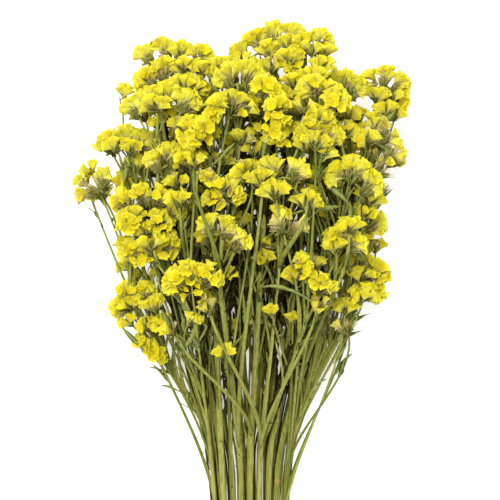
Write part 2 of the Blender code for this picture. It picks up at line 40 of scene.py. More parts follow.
# One entry for each stem. For each comb it carries: the points that its row of florets follows, in
# millimetres from the middle of the cut ends and up from the surface, how far its florets turn up while
# the stems are laid out, how far they turn up once dressed, how far they turn to the right (degrees), and
# the share of them that have lost their calyx. drop is how far the fork lies below the comb, where it
# isn't the usual length.
heads = [
    {"combs": [([(-98, 551, 44), (-70, 557, 48), (-35, 547, 46)], 15, 10, -10, 0)]},
    {"combs": [([(-18, 549, 52), (0, 560, 46), (22, 570, 40), (43, 568, 38)], 15, 10, 0, 0)]},
    {"combs": [([(69, 557, 58), (56, 563, 61), (43, 553, 66), (38, 534, 70)], 35, 26, 5, 0)]},
    {"combs": [([(104, 523, 38), (118, 535, 40), (134, 526, 40), (133, 504, 42)], 25, 16, 20, 0)]},
    {"combs": [([(69, 513, 72), (86, 524, 76), (102, 513, 74)], 25, 16, 5, 0)]},
    {"combs": [([(-110, 499, 78), (-89, 508, 84), (-67, 509, 86), (-49, 500, 86)], 18, 8, -8, 0),
               ([(-71, 538, 74), (-83, 528, 70), (-94, 515, 68)], 35, 28, -25, 0)], "drop": 70},
    {"combs": [([(-28, 500, 112), (-38, 481, 116), (-52, 464, 116)], 62, 62, 0, 0)]},
    {"combs": [([(-26, 520, 96), (-10, 528, 98), (6, 520, 96)], 22, 12, 0, 0)]},
    {"combs": [([(8, 512, 112), (22, 511, 114), (27, 494, 118), (20, 470, 118)], 58, 58, 5, 0)]},
    {"combs": [([(42, 503, 108), (58, 510, 112), (74, 498, 108)], 42, 22, 5, 0),
               ([(42, 468, 116), (56, 474, 118), (72, 466, 116)], 35, 22, 0, 0)], "drop": 85},
    {"combs": [([(88, 480, 68), (106, 485, 70), (120, 476, 68), (129, 456, 64)], 22, 14, 15, 0.45)]},
    {"combs": [([(-133, 470, 46), (-112, 478, 50), (-88, 472, 54)], 20, 12, -15, 0),
               ([(-146, 433, 41), (-138, 447, 41), (-123, 454, 43)], 25, 14, -30, 0.6)], "drop": 78},
    {"combs": [([(-116, 413, 78), (-94, 422, 84), (-77, 415, 87), (-61, 404, 86)], 38, 34, -5, 0)]},
    {"combs": [([(-44, 442, 106), (-29, 434, 110), (-12, 422, 110)], 55, 55, -10, 0.35)]},
    {"combs": [([(-84, 452, 82), (-66, 460, 86), (-48, 452, 88)], 30, 18, 0, 0)]},
    {"combs": [([(-38, 400, 116), (-20, 401, 118), (0, 384, 118)], 28, 22, 15, 0.1)]},
    {"combs": [([(66, 436, 108), (78, 448, 110), (92, 442, 108), (104, 430, 104)], 40, 18, 10, 0),
               ([(90, 405, 66), (102, 411, 64), (113, 396, 60)], 30, 20, 20, 0)], "drop": 86},
    {"combs": [([(8, 436, 112), (26, 441, 116), (44, 436, 114)], 30, 10, 0, 0.3),
               ([(16, 392, 110), (28, 396, 112), (40, 388, 110)], 35, 20, 0, 0.75)], "drop": 92},
    {"combs": [([(-66, 350, 102), (-50, 364, 106), (-28, 358, 106)], 42, 42, -5, 0),
               ([(-108, 379, 64), (-88, 386, 68), (-65, 388, 70)], 40, 34, -15, 0)]},
    {"combs": [([(-118, 321, 42), (-109, 335, 48), (-88, 342, 52)], 32, 26, -25, 0),
               ([(-99, 301, 36), (-89, 294, 38), (-79, 286, 40)], 40, 34, -30, 0)], "drop": 84},
    {"combs": [([(78, 361, 52), (95, 367, 52), (109, 356, 50), (111, 334, 50)], 38, 32, 15, 0)]},
    {"combs": [([(42, 378, 96), (52, 362, 100), (70, 354, 98)], 48, 48, 0, 0),
               ([(69, 396, 84), (83, 398, 82), (97, 388, 78)], 30, 22, 10, 0.55)]},
    {"combs": [([(-118, 442, 18), (-96, 456, 20), (-66, 454, 20)], -8, -8, -20, 0)]},
    {"combs": [([(-50, 502, 20), (-22, 513, 24), (8, 506, 22)], -4, -4, -6, 0)]},
    {"combs": [([(56, 446, 20), (82, 455, 22), (108, 442, 20)], -8, -8, 14, 0)]},
    {"combs": [([(4, 384, 20), (28, 393, 24), (52, 386, 20)], -6, -6, 4, 0)]},
]

# Small fans of florets on twigs of their own: where the middle of each one's rim lies in the picture (in
# 500ths of its width and height), how high it lies, how far it turns to the right and up, how wide it
# spreads to each side (degrees), its radius, and the share of its florets that have lost their calyx.
sprigs = [
    (181, 45, 48, 10, 10, 30, 16, 0), (152, 67, 40, -40, 10, 22, 14, 0), (126, 84, 30, 10, 10, 25, 12, 0),
    (191, 74, 72, 14, 12, 62, 22, 0), (172, 103, 70, -5, 20, 62, 23, 0),
    (235, 89, 108, 12, 16, 64, 24, 0.12), (222, 72, 60, 30, 15, 40, 16, 0),
    (190, 152, 86, 0, 25, 50, 19, 0), (175, 172, 84, -10, 15, 40, 16, 0), (140, 158, 50, 10, 15, 15, 13, 0),
    (157, 140, 60, 10, 15, 15, 13, 0), (238, 138, 60, 20, 40, 30, 14, 0),
    (250, 160, 66, -10, 30, 30, 14, 0.1), (226, 150, 60, -30, 20, 20, 12, 0),
    (81, 172, 14, -20, 10, 30, 13, 0), (97, 188, 18, -30, 40, 30, 16, 0),
    (129, 178, 34, -20, 10, 40, 18, 0), (268, 58, 70, -10, 20, 40, 16, 0), (290, 48, 82, 0, 15, 35, 16, 0),
    (300, 72, 92, 10, 25, 45, 18, 0), (325, 56, 84, 15, 15, 35, 16, 0), (312, 40, 80, 0, 10, 30, 14, 0),
    (275, 84, 90, -10, 25, 45, 18, 0), (322, 108, 122, 6, 22, 46, 17, 0), (304, 99, 124, -8, 30, 34, 15, 0),
    (322, 116, 96, 10, 20, 50, 18, 0.1), (296, 118, 90, -5, 20, 35, 16, 0.4),
    (317, 132, 126, 4, 20, 40, 16, 0), (330, 143, 118, 30, 20, 24, 14, 0), (344, 121, 92, 0, 20, 50, 17, 0),
    (343, 162, 98, 0, 25, 58, 20, 0.1), (308, 184, 96, 10, 25, 50, 18, 0),
    (273, 181, 127, -10, 20, 45, 17, 0), (372, 188, 84, 15, 20, 45, 17, 0),
    (403, 150, 66, 42, 12, 40, 20, 0.85), (352, 104, 66, 10, 15, 35, 15, 0),
    (376, 112, 60, 5, 15, 25, 14, 0), (258, 122, 84, -10, 30, 35, 16, 0),
    (120, 262, 34, -50, 10, 20, 11, 0), (119, 238, 40, -40, 10, 20, 11, 0),
    (226, 266, 96, 20, 35, 28, 15, 0), (203, 262, 88, 0, 15, 45, 17, 0),
    (222, 230, 94, 25, 20, 62, 22, 0.1), (208, 214, 70, -10, 20, 25, 14, 0),
    (243, 214, 76, 10, 30, 25, 13, 0.1), (197, 314, 94, 40, 20, 24, 12, 0.1),
    (223, 346, 92, -10, 30, 22, 13, 0), (333, 230, 92, 0, 30, 25, 14, 0), (352, 232, 86, 5, 25, 22, 13, 0),
    (308, 256, 78, -20, 20, 45, 17, 0), (318, 276, 92, 60, 20, 45, 18, 0), (345, 298, 62, 0, 10, 40, 15, 0),
    (276, 236, 90, 0, 30, 35, 14, 0.2), (262, 252, 84, -20, 25, 30, 13, 0.2),
    (293, 268, 94, -10, 20, 35, 15, 0.1), (320, 304, 90, 20, 20, 14, 11, 0),
    (271, 306, 80, -10, 20, 14, 11, 0), (293, 312, 70, 0, 20, 14, 11, 0.2),
    (346, 318, 72, -10, 10, 34, 16, 1), (190, 196, 60, 10, 20, 30, 15, 0),
    (160, 262, 50, -15, 15, 35, 16, 0), (205, 290, 88, 20, 20, 35, 16, 0.3),
    (150, 296, 60, -20, 15, 35, 16, 0), (330, 205, 80, 10, 25, 30, 15, 0),
    (266, 42, 60, -15, 10, 35, 15, 0), (287, 34, 66, 0, 10, 22, 13, 0), (303, 42, 70, 5, 15, 30, 15, 0),
    (326, 44, 66, 10, 10, 25, 14, 0), (186, 56, 60, 0, 15, 50, 17, 0), (204, 60, 64, 10, 20, 40, 16, 0),
    (240, 52, 66, -5, 15, 50, 17, 0), (258, 68, 74, 5, 20, 35, 16, 0), (222, 56, 60, 0, 15, 40, 15, 0),
    (154, 93, 98, -6, 16, 52, 17, 0), (246, 94, 84, -10, 25, 40, 16, 0), (262, 100, 90, 0, 30, 30, 15, 0),
    (296, 100, 96, 0, 30, 35, 16, 0), (328, 84, 84, 5, 20, 35, 16, 0), (352, 78, 66, 10, 10, 35, 15, 0),
    (386, 100, 56, 0, 20, 30, 15, 0), (398, 106, 50, 15, 15, 28, 14, 0), (182, 118, 88, 0, 35, 40, 17, 0),
    (206, 126, 100, 10, 40, 40, 17, 0), (284, 124, 96, 0, 35, 30, 15, 0),
    (112, 136, 56, -20, 15, 40, 16, 0), (132, 140, 60, 0, 20, 35, 15, 0), (368, 130, 96, 5, 30, 46, 16, 0),
    (386, 150, 72, 30, 15, 35, 16, 0.8), (268, 168, 90, 0, 30, 30, 15, 0), (312, 168, 92, 0, 25, 35, 16, 0),
    (366, 204, 78, 15, 25, 35, 15, 0), (126, 214, 74, -20, 20, 40, 17, 0),
    (146, 222, 80, -5, 25, 40, 17, 0), (164, 226, 78, 10, 25, 30, 15, 0),
    (190, 277, 106, -6, 52, 48, 18, 0), (370, 284, 56, 25, 25, 40, 16, 0), (362, 266, 60, 5, 20, 35, 15, 0),
    (128, 296, 54, -20, 30, 35, 15, 0), (122, 316, 44, -45, 25, 28, 14, 0),
    (146, 318, 52, -10, 35, 30, 15, 0), (193, 121, 118, -8, 54, 52, 19, 0),
    (215, 191, 112, 8, 52, 50, 13, 0), (278, 94, 122, 4, 50, 38, 13, 0), (277, 128, 120, 0, 50, 40, 14, 0),
    (130, 211, 86, -14, 50, 48, 16, 0), (160, 213, 88, 4, 50, 48, 15, 0),
    (138, 250, 76, -14, 50, 44, 13, 0), (166, 240, 80, 0, 50, 46, 13, 0),
    (374, 160, 84, 22, 10, 40, 20, 0.95), (390, 163, 74, 44, 8, 34, 19, 0.95),
    (246, 160, 96, -14, 24, 40, 14, 0), (222, 152, 84, 10, 18, 34, 15, 0.3),
    (244, 128, 92, 12, 22, 36, 15, 0.4), (252, 142, 88, -10, 30, 34, 14, 0),
    (376, 86, 54, -6, 12, 40, 15, 0), (312, 66, 92, -4, 18, 44, 17, 0), (202, 79, 44, 8, 10, 42, 17, 0.2),
    (213, 138, 60, 0, 10, 36, 16, 0.95), (353, 108, 82, 18, 24, 34, 14, 0),
    (393, 88, 50, 10, 14, 30, 14, 0), (338, 92, 124, 12, 48, 44, 14, 0), (190, 147, 104, 0, 40, 46, 16, 0),
    (366, 288, 74, 10, 35, 44, 16, 0), (86, 162, 34, -25, 12, 30, 12, 0),
    (186, 266, 114, -4, 50, 46, 14, 0), (228, 174, 116, -76, 12, 56, 15, 0.1),
    (302, 137, 118, -8, 20, 24, 13, 0),
]

# Fans whose long twigs pass in front of others: the same, then where the twig leaves its stem in the
# picture, how far it arches forward, and its thickness at the foot.
runners = [
    (196, 152, 118, 8, 18, 30, 15, 0, 203, 275, 90, 16, 2.1),
    (150, 234, 92, -12, 20, 32, 15, 0, 163, 280, 70, 8, 1.7),
    (176, 190, 108, -10, 22, 38, 16, 0, 194, 264, 84, 16, 1.9),
    (264, 168, 124, 4, 24, 46, 17, 0.1, 243, 452, 44, 22, 2.2),
    (284, 206, 112, 14, 22, 26, 14, 0.1, 259, 250, 96, 4, 1.5),
    (308, 190, 114, 4, 14, 46, 18, 0, 291, 268, 92, 22, 2.5),
    (347, 216, 100, -6, 18, 40, 17, 0, 322, 350, 50, 12, 2.3),
    (334, 236, 98, -8, 16, 30, 15, 0, 312, 365, 48, 10, 2.1),
    (166, 322, 86, -30, 10, 30, 14, 0.5, 246, 436, 30, 16, 2),
    (206, 300, 98, -16, 14, 26, 14, 0.4, 262, 446, 34, 14, 2.2),
    (322, 296, 94, 16, 12, 26, 13, 0.3, 262, 452, 30, 14, 1.9),
]

# Broad leaves among the heads: where each is rooted in the picture, its height, its heading to the
# right and up, its length and width, how far it bends towards its right, and how far it is turned
# about its rib.
broadLeaves = [
    (194, 192, 108, 6, 4, 36, 7, 0.05, 20), (347, 202, 102, -42, 6, 24, 7.5, -0.1, 10),
    (312, 208, 110, 84, 4, 24, 8, 0.1, 15), (308, 206, 112, -45, 8, 20, 8.5, 0.1, -20),
    (206, 326, 84, -48, 4, 42, 9.5, 0.05, 10), (200, 323, 82, -150, 4, 26, 9, 0, -15),
    (262, 287, 106, 76, 2, 48, 5, 0.85, 20), (218, 130, 92, -8, 6, 24, 7, 0, 10),
    (124, 184, 56, 12, 8, 24, 7, -0.15, 25), (380, 127, 62, 48, 4, 22, 7, -0.1, 10),
    (262, 160, 108, 10, 8, 28, 7, 0, -15), (232, 216, 94, 20, 6, 16, 7.5, 0, 10),
    (218, 94, 78, -22, 6, 20, 7.5, 0, 15), (172, 330, 74, -32, 6, 20, 7.5, 0.1, 10),
    (140, 346, 46, -46, 2, 24, 5.5, 0.05, 10), (352, 226, 92, -8, 6, 22, 7, 0.1, 20),
    (366, 262, 70, -30, 8, 18, 6, 0, 10), (246, 330, 78, -4, 4, 32, 6.5, 0.05, 25),
    (300, 170, 104, 6, 6, 22, 6.5, 0, 15), (322, 176, 96, -10, 6, 22, 6.5, 0, -15),
    (372, 156, 74, -50, 4, 24, 5, 0.1, 10), (392, 152, 66, -64, 2, 26, 4, 0.1, 10),
    (160, 146, 86, -10, 6, 20, 6.5, 0, 10), (214, 164, 106, 44, 8, 26, 5.5, 0.05, 15),
]

# size is a pixel at the height called level, middleX and middleY what the picture's middle shows, eye
# how high the camera stands (millimetres).
photoScale = {"size": 0.87, "middle": 250, "middleX": 7.7, "middleY": 85.6, "level": 75.0, "eye": 1175.0}
metre = 1000  # in millimetres


# Vectors divided by their own length.
def unit(v):
    return v / np.maximum(np.linalg.norm(v, axis=-1, keepdims=True), 1e-9)


# A Catmull-Rom curve through the points, cut into equal steps of about one pitch.
def smoothPath(points, pitch):
    points = np.array(points, float)
    ends = np.vstack([2 * points[0] - points[1], points, 2 * points[-1] - points[-2]])
    t = np.linspace(0, 1, 16, endpoint=False)[None, :, None]
    a, b, c, d = (ends[i:len(ends) - 3 + i, None] for i in range(4))
    dense = 0.5 * (2 * b + (c - a) * t + (2 * a - 5 * b + 4 * c - d) * t**2 + (3 * b - a - 3 * c + d) * t**3)
    dense = np.vstack([dense.reshape(-1, 3), points[-1:]])
    run = runAlong(dense)
    steps = np.linspace(0, run[-1], max(3, round(run[-1] / pitch)) + 1)
    return atRun(run, dense, steps)


# How far along a line each of its points lies.
def runAlong(line):
    return np.concatenate([[0], np.cumsum(np.linalg.norm(np.diff(line, axis=0), axis=1))])


# Values given along a run, read off at other places on it.
def atRun(run, values, where):
    return np.stack([np.interp(where, run, values[:, i]) for i in range(values.shape[1])], axis=1)


# Two directions across a path: a fixed one, made square to the path at each point, and its normal.
def acrossPath(line, reference):
    along = unit(np.gradient(line, axis=0))
    side = unit(reference - (along @ reference)[:, None] * along)
    return side, np.cross(along, side)


# A path that leaves start along one heading and reaches end along another: a cubic Hermite curve.
def bentPath(start, end, leaving, arriving, steps, pull=1.0):
    reach = pull * np.linalg.norm(end - start)
    t = np.linspace(0, 1, steps + 1)[:, None]
    return ((2 * t**3 - 3 * t**2 + 1) * start + (t**3 - 2 * t**2 + t) * reach * leaving
            + (3 * t**2 - 2 * t**3) * end + (t**3 - t**2) * reach * arriving)


# The way florets point: +Y, turned up by nod and to the right by swing.
def facing(nod, swing):
    nod, swing = np.radians(nod), np.radians(swing)
    return np.array([np.sin(swing) * np.cos(nod), np.cos(swing) * np.cos(nod), np.sin(nod)])


# Many closed bodies at once, each a stack of rings whose two ends are closed to their middle points.
# rings is bodies x rings x points x 3, and look is carried along with each point.
def closedRings(rings, look):
    bodies, stack, around = rings.shape[:3]
    look = np.broadcast_to(look, (bodies, stack, around, look.shape[-1]))
    ends = [rings[:, :1].mean(2), rings[:, -1:].mean(2)]
    verts = np.concatenate([rings.reshape(bodies, -1, 3), *ends], axis=1)
    tints = [look.reshape(bodies, stack * around, -1), look[:, :1].mean(2), look[:, -1:].mean(2)]
    tints = np.concatenate(tints, axis=1)
    i = np.arange(stack - 1)[:, None] * around
    j = np.arange(around)[None]
    k = (j + 1) % around
    quads = np.stack([i + j, i + k, i + around + k, i + around + j], axis=-1).reshape(-1, 4)
    low, high, top = stack * around, stack * around + 1, (stack - 1) * around
    fan = np.stack([np.full(around, low), k[0], j[0]], axis=-1)
    cap = np.stack([np.full(around, high), top + j[0], top + k[0]], axis=-1)
    tris = np.vstack([fan, cap])
    step = (np.arange(bodies) * (stack * around + 2))[:, None, None]
    return {
        "verts": verts.reshape(-1, 3),
        "look": tints.reshape(-1, tints.shape[-1]),
        "quads": (quads[None] + step).reshape(-1, 4),
        "tris": (tris[None] + step).reshape(-1, 3),
    }


# Heights below the soft level sink towards the surface ever more slowly and never reach it.
def lieOnFloor(height, soft=2.0, least=0.2):
    sunk = least + (soft - least) * np.exp((np.minimum(height, soft) - soft) / (soft - least))
    return np.where(height < soft, sunk, height)


# Puts several sets of bodies into one object, each with its own material, and lets it stand for CAD nodes.
def makePiece(name, parts, nodes):
    start, verts, look, corners, starts, paints, count = 0, [], [], [], [], [], 0
    materials = []
    for made, material in parts:
        if material not in materials:
            materials.append(material)
        for key, sides in (("quads", 4), ("tris", 3)):
            faces = made[key] + start
            corners.append(faces.ravel())
            starts.append(count + np.arange(len(faces)) * sides)
            paints.append(np.full(len(faces), materials.index(material)))
            count += faces.size
        verts.append(made["verts"])
        look.append(made["look"])
        start += len(made["verts"])
    verts = np.vstack(verts)
    verts[:, 2] = lieOnFloor(verts[:, 2])
    mesh = bpy.data.meshes.new(name)
    mesh.vertices.add(start)
    mesh.vertices.foreach_set("co", (verts / metre).astype(np.float32).ravel())
    mesh.loops.add(count)
    mesh.loops.foreach_set("vertex_index", np.concatenate(corners).astype(np.int32))
    starts, paints = np.concatenate(starts), np.concatenate(paints)
    mesh.polygons.add(len(starts))
    mesh.polygons.foreach_set("loop_start", starts.astype(np.int32))
    mesh.polygons.foreach_set("material_index", paints.astype(np.int32))
    mesh.update(calc_edges=True)
    mesh.validate()
    smooth = paints != (materials.index(paper) if paper in materials else -1)  # the papery rims stay crisp
    mesh.polygons.foreach_set("use_smooth", smooth)
    tint = mesh.attributes.new("look", "FLOAT_VECTOR", "POINT")
    tint.data.foreach_set("vector", np.vstack(look).astype(np.float32).ravel())
    for material in materials:
        mesh.materials.append(material)
    piece = bpy.data.objects.new(name, mesh)
    bpy.context.scene.collection.objects.link(piece)
    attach(piece, "root")
    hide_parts(*nodes)


# A material under construction: short ways to add, wire and mix its nodes.
class Paint:
    def __init__(self, name, roughness):
        self.material = bpy.data.materials.new(name)
        self.material.use_nodes = True
        self.tree = self.material.node_tree
        self.shader = self.tree.nodes["Principled BSDF"]
        self.shader.inputs["Roughness"].default_value = roughness
        self.shader.inputs["Specular IOR Level"].default_value = 0.18

    def add(self, kind, **values):  # a node with some of its settings
        node = self.tree.nodes.new(kind)
        for key, value in values.items():
            setattr(node, key, value)
        return node

    def wire(self, source, target):  # joins two sockets
        self.tree.links.new(source, target)

    def put(self, socket, value):  # gives a socket a value, or wires it to another
        if hasattr(value, "is_output"):
            self.wire(value, socket)
        else:
            socket.default_value = value

    def look(self):  # the three numbers that each point of a piece carries
        split = self.add("ShaderNodeSeparateXYZ")
        self.wire(self.add("ShaderNodeAttribute", attribute_name="look").outputs["Vector"], split.inputs[0])
        return split.outputs

    def noise(self, scale, detail=3, stretch=None):  # noise that lies still on the piece
        place = self.add("ShaderNodeTexCoord").outputs["Object"]
        if stretch:
            mapping = self.add("ShaderNodeMapping")
            self.wire(place, mapping.inputs["Vector"])
            mapping.inputs["Scale"].default_value = stretch
            place = mapping.outputs["Vector"]
        made = self.add("ShaderNodeTexNoise")
        self.wire(place, made.inputs["Vector"])
        made.inputs["Scale"].default_value = scale
        made.inputs["Detail"].default_value = detail
        return made.outputs["Fac"]

    def ramp(self, source, *stops):  # colours between the stops, by a number from 0 to 1
        made = self.add("ShaderNodeValToRGB")
        bar = made.color_ramp
        while len(bar.elements) < len(stops):
            bar.elements.new(0.5)
        for element, (place, colour) in zip(bar.elements, stops):
            element.position = place
            element.color = (*colour, 1.0) if len(colour) == 3 else colour
        self.wire(source, made.inputs["Fac"])
        return made.outputs["Color"]

    def levels(self, source, low, high, bottom=0.0, top=1.0):  # turns low to high into bottom to top
        made = self.add("ShaderNodeMapRange")
        self.wire(source, made.inputs["Value"])
        for key, value in (("From Min", low), ("From Max", high), ("To Min", bottom), ("To Max", top)):
            made.inputs[key].default_value = value
        return made.outputs["Result"]

    def mix(self, share, first, second, blend="MIX"):  # share of the second colour over the first
        made = self.add("ShaderNodeMix", data_type="RGBA", blend_type=blend)
        self.put(made.inputs["Factor"], share)
        for socket, value in ((made.inputs[6], first), (made.inputs[7], second)):
            self.put(socket, value if hasattr(value, "is_output") else (*value, 1.0))
        return made.outputs[2]

    def bump(self, height, strength, distance):  # fine grain on the surface
        made = self.add("ShaderNodeBump")
        made.inputs["Strength"].default_value = strength
        made.inputs["Distance"].default_value = distance
        self.wire(height, made.inputs["Height"])
        self.wire(made.outputs["Normal"], self.shader.inputs["Normal"])

    def finish(self, colour):  # wires the colour and hands the material over
        self.wire(colour, self.shader.inputs["Base Color"])
        return self.material


# look: x runs up the outside of the calyx to its rim (0.68) and back down inside to its throat (1),
# y differs from one to the next, z is how withered it is
def paperPaint():
    paint = Paint("papery yellow calyx", 0.6)
    along, tone, wither = paint.look()
    fresh = paint.ramp(along, (0.0, (0.18, 0.20, 0.035)), (0.22, (0.46, 0.43, 0.10)),
                       (0.38, (0.70, 0.65, 0.09)), (0.56, (0.78, 0.73, 0.062)), (0.68, (0.76, 0.69, 0.026)),
                       (0.80, (0.73, 0.645, 0.012)), (1.0, (0.66, 0.55, 0.006)))
    deep = paint.ramp(along, (0.0, (0.18, 0.17, 0.04)), (0.22, (0.46, 0.40, 0.07)),
                      (0.38, (0.66, 0.57, 0.035)), (0.56, (0.74, 0.645, 0.012)), (0.80, (0.68, 0.57, 0.005)),
                      (1.0, (0.58, 0.46, 0.004)))
    colour = paint.mix(paint.levels(tone, 0.3, 1.0), fresh, deep)
    dead = paint.ramp(along, (0.0, (0.16, 0.12, 0.04)), (0.4, (0.44, 0.36, 0.14)), (0.7, (0.56, 0.48, 0.14)),
                      (1.0, (0.2, 0.13, 0.02)))
    colour = paint.mix(wither, colour, dead)
    grain = paint.noise(420, 2)
    colour = paint.mix(paint.levels(grain, 0.4, 0.8, 0.0, 0.10), colour, (0.70, 0.58, 0.10), "MULTIPLY")
    paint.bump(grain, 0.2, 0.0005)
    paint.shader.inputs["Subsurface Weight"].default_value = 0.3
    paint.shader.inputs["Subsurface Radius"].default_value = (1.0, 0.8, 0.15)
    paint.shader.inputs["Subsurface Scale"].default_value = 0.002
    return paint.finish(colour)


# look: x runs up the stem, y differs from stem to stem, z is 0 on the core and 1 at a wing's edge
def stemPaint():
    paint = Paint("winged green stem", 0.62)
    up, tone, edge = paint.look()
    low = paint.mix(tone, (0.21, 0.232, 0.033), (0.425, 0.425, 0.1))
    high = paint.mix(tone, (0.18, 0.215, 0.030), (0.38, 0.39, 0.085))
    colour = paint.mix(up, low, high)
    # the wings lighten towards their edges: partly the wings' own paler colour, partly a painted highlight
    # along them
    colour = paint.mix(paint.levels(edge, 0.3, 0.9, 0.0, 0.6), colour, (0.58, 0.58, 0.20))
    streak = paint.noise(60, 4, (14, 0.9, 14))
    colour = paint.mix(paint.levels(streak, 0.42, 0.62, 0.0, 0.6), colour, (0.42, 0.43, 0.16), "MULTIPLY")
    blotch = paint.noise(28, 3)
    colour = paint.mix(paint.levels(blotch, 0.62, 0.74, 0.0, 0.35), colour, (0.28, 0.20, 0.04))
    colour = paint.mix(paint.levels(edge, -0.05, -0.9, 0.0, 0.7), colour, (0.42, 0.26, 0.07))
    paint.bump(streak, 0.5, 0.0008)
    return paint.finish(colour)


# look: x runs along the blade, y differs from one to the next, z is 0 at its rib and 1 at its edge
def leafPaint(name, foot, tip, other, rib):
    paint = Paint(name, 0.65)
    along, tone, edge = paint.look()
    colour = paint.mix(along, foot, tip)
    colour = paint.mix(tone, colour, other)
    colour = paint.mix(paint.levels(edge, 0.0, 0.35, 0.6, 0.0), colour, rib)
    mottle = paint.noise(160, 4)
    colour = paint.mix(paint.levels(mottle, 0.45, 0.75, 0.0, 0.7), colour, (0.62, 0.52, 0.26), "MULTIPLY")
    paint.bump(mottle, 0.4, 0.0008)
    return paint.finish(colour)


paper = paperPaint()
stemGreen = stemPaint()
leafGreen = leafPaint("leaf", foot=(0.11, 0.15, 0.020), tip=(0.21, 0.26, 0.045),
                      other=(0.28, 0.32, 0.08), rib=(0.34, 0.39, 0.11))
bractGreen = leafPaint("bract", foot=(0.075, 0.10, 0.012), tip=(0.30, 0.32, 0.07),
                       other=(0.19, 0.15, 0.028), rib=(0.30, 0.32, 0.07))
strawTan = leafPaint("straw", foot=(0.40, 0.34, 0.10), tip=(0.94, 0.85, 0.50),
                     other=(0.50, 0.37, 0.13), rib=(0.82, 0.74, 0.38))
# This paint is near black: painted shade for the deep gaps between heads and stems, laid on dead leaves and
# dry stalks that are dull brown of their own.
deadLeafAndPaintedShade = leafPaint("dead leaf and painted shade", foot=(0.035, 0.038, 0.005), tip=(0.08, 0.075, 0.012),
                     other=(0.035, 0.025, 0.004), rib=(0.09, 0.085, 0.015))
print("materials made")


# A funnel: a thin tube that flares to a pleated, toothed rim, and folds back down inside to its throat.
calyx = {
    "around": 12,
    "along": (0.0, 4.2, 7.9, 12.8, 10.2),
    "radius": (0.45, 0.95, 2.8, 5.5, 2.2),
    "shade": (0.0, 0.22, 0.44, 0.68, 1.0),
    "ruffle": (0.0, 0.0, 0.5, 1.0, 0.3),
    "lobe": 0.08,
    "wave": 0.7,
    "crumple": 0.28,
    "pleat": 0.42,
    "teeth": 0.16,
    # streak: pleat ridges paler and valleys deeper yellow, partly the calyx's own veins and partly painted
    # shade in the creases
    "streak": 0.12,
    "spin": 0.55,
}


# Rings round each axis: radius = profile x (1 + lobes) + pleats, height = profile + waves + pleats, and
# each funnel is pressed narrower one way by its own fold, mostly flat to the floor.
def calyces(centre, axis, size, fold, tone, wither, dice):
    count, around, tip = len(centre), calyx["around"], calyx["along"][3]
    wide = unit(np.cross(axis, (0.0, 0.0, 1.0) + calyx["spin"] * dice.normal(size=(count, 3))))
    deep = np.cross(axis, wide)
    turn = np.arange(around) * 2 * np.pi / around
    phase = dice.uniform(0, 2 * np.pi, (count, 4, 1))
    lobes = np.cos(5 * turn + phase[:, 0]) + 0.6 * np.cos(3 * turn + phase[:, 1])
    waves = 0.5 * np.cos(4 * turn + phase[:, 2]) + 0.8 * np.cos(2 * turn + phase[:, 3])
    ruffle = np.array(calyx["ruffle"])[None, :, None]
    pleat = np.cos(np.pi * np.arange(around))
    crumple = dice.normal(0, calyx["crumple"], (count, len(calyx["along"]), around)) * ruffle
    radius = np.array(calyx["radius"])[None, :, None] * (1 + calyx["lobe"] * ruffle * lobes[:, None])
    radius = radius + crumple + calyx["pleat"] * ruffle * pleat
    height = np.array(calyx["along"])[None, :, None] - tip + calyx["wave"] * ruffle * waves[:, None]
    height = height + crumple + calyx["teeth"] * ruffle * pleat
    radius, height = radius * size[:, None, None], height * size[:, None, None]
    pressed = 1 - (1 - fold[:, None, None]) * np.sqrt(ruffle)
    rings = centre[:, None, None] + height[..., None] * axis[:, None, None]
    rings = rings + (radius * np.cos(turn))[..., None] * wide[:, None, None]
    rings = rings + (radius * np.sin(turn) * pressed)[..., None] * deep[:, None, None]
    look = np.empty((count, len(calyx["along"]), around, 3))
    # pleat ridges take a paler colour and the valleys a deeper yellow: partly the calyx's own veins, partly
    # painted shade in the creases
    look[..., 0] = np.array(calyx["shade"])[None, :, None] - calyx["streak"] * ruffle * pleat
    look[..., 1] = tone[:, None, None]
    look[..., 2] = wither[:, None, None]
    return closedRings(rings, look)


# Pointed blades: lens-shaped sections whose width follows the profile, along a line that bends by curl
# towards the blade's own face and by bend to its right. keel folds it up along its rib and wave ripples
# its edges.
def blades(root, way, face, length, width, thick, curl, profile, tone,
           keel=0.25, wave=0.0, phase=0.0, bend=0.0):
    count, stack = len(root), len(profile)
    way = unit(way)
    across = unit(np.cross(face, way))
    face = np.cross(way, across)
    t = np.linspace(0, 1, stack)[None, :, None]
    length, width, thick, curl, bend = (
        np.broadcast_to(v, (count,))[:, None, None] for v in (length, width, thick, curl, bend))
    bow = curl * face[:, None] - bend * across[:, None]
    line = root[:, None] + length * (way[:, None] * t + bow * t**2)
    profile = np.array(profile)[None, :, None]
    half = width * profile / 2
    edges, sides = np.array([1.0, 0.0, 1.0, 0.0]), np.array([1.0, 0.0, -1.0, 0.0])
    faces = np.array([0.0, 0.5, 0.0, -0.5])
    lift = keel * half * edges + wave * half * np.sin(9 * t + phase) * sides
    up = lift + thick * (0.35 + 0.65 * profile) * faces
    rings = line[:, :, None] + (half * sides)[..., None] * across[:, None, None]
    rings = rings + up[..., None] * face[:, None, None]
    look = np.empty((count, stack, 4, 3))
    look[..., 0] = t
    look[..., 1] = np.broadcast_to(tone, (count,))[:, None, None]
    look[..., 2] = edges
    return closedRings(rings, look)


# A round tube along a path, thinning from one radius to the other. rooted thins its first ring more.
def tube(path, first, last, tone, up=0.9, around=6, rooted=1.0):
    e1, e2 = acrossPath(path, np.eye(3)[np.abs(path[-1] - path[0]).argmin()])
    turn = np.arange(around) * 2 * np.pi / around
    radius = np.linspace(first, last, len(path))[:, None, None]
    radius[0] *= rooted
    out = np.cos(turn)[None, :, None] * e1[:, None] + np.sin(turn)[None, :, None] * e2[:, None]
    look = np.empty((1, len(path), around, 3))
    look[..., 0], look[..., 1], look[..., 2] = up, tone, 0.2
    return closedRings((path[:, None] + radius * out)[None], look)


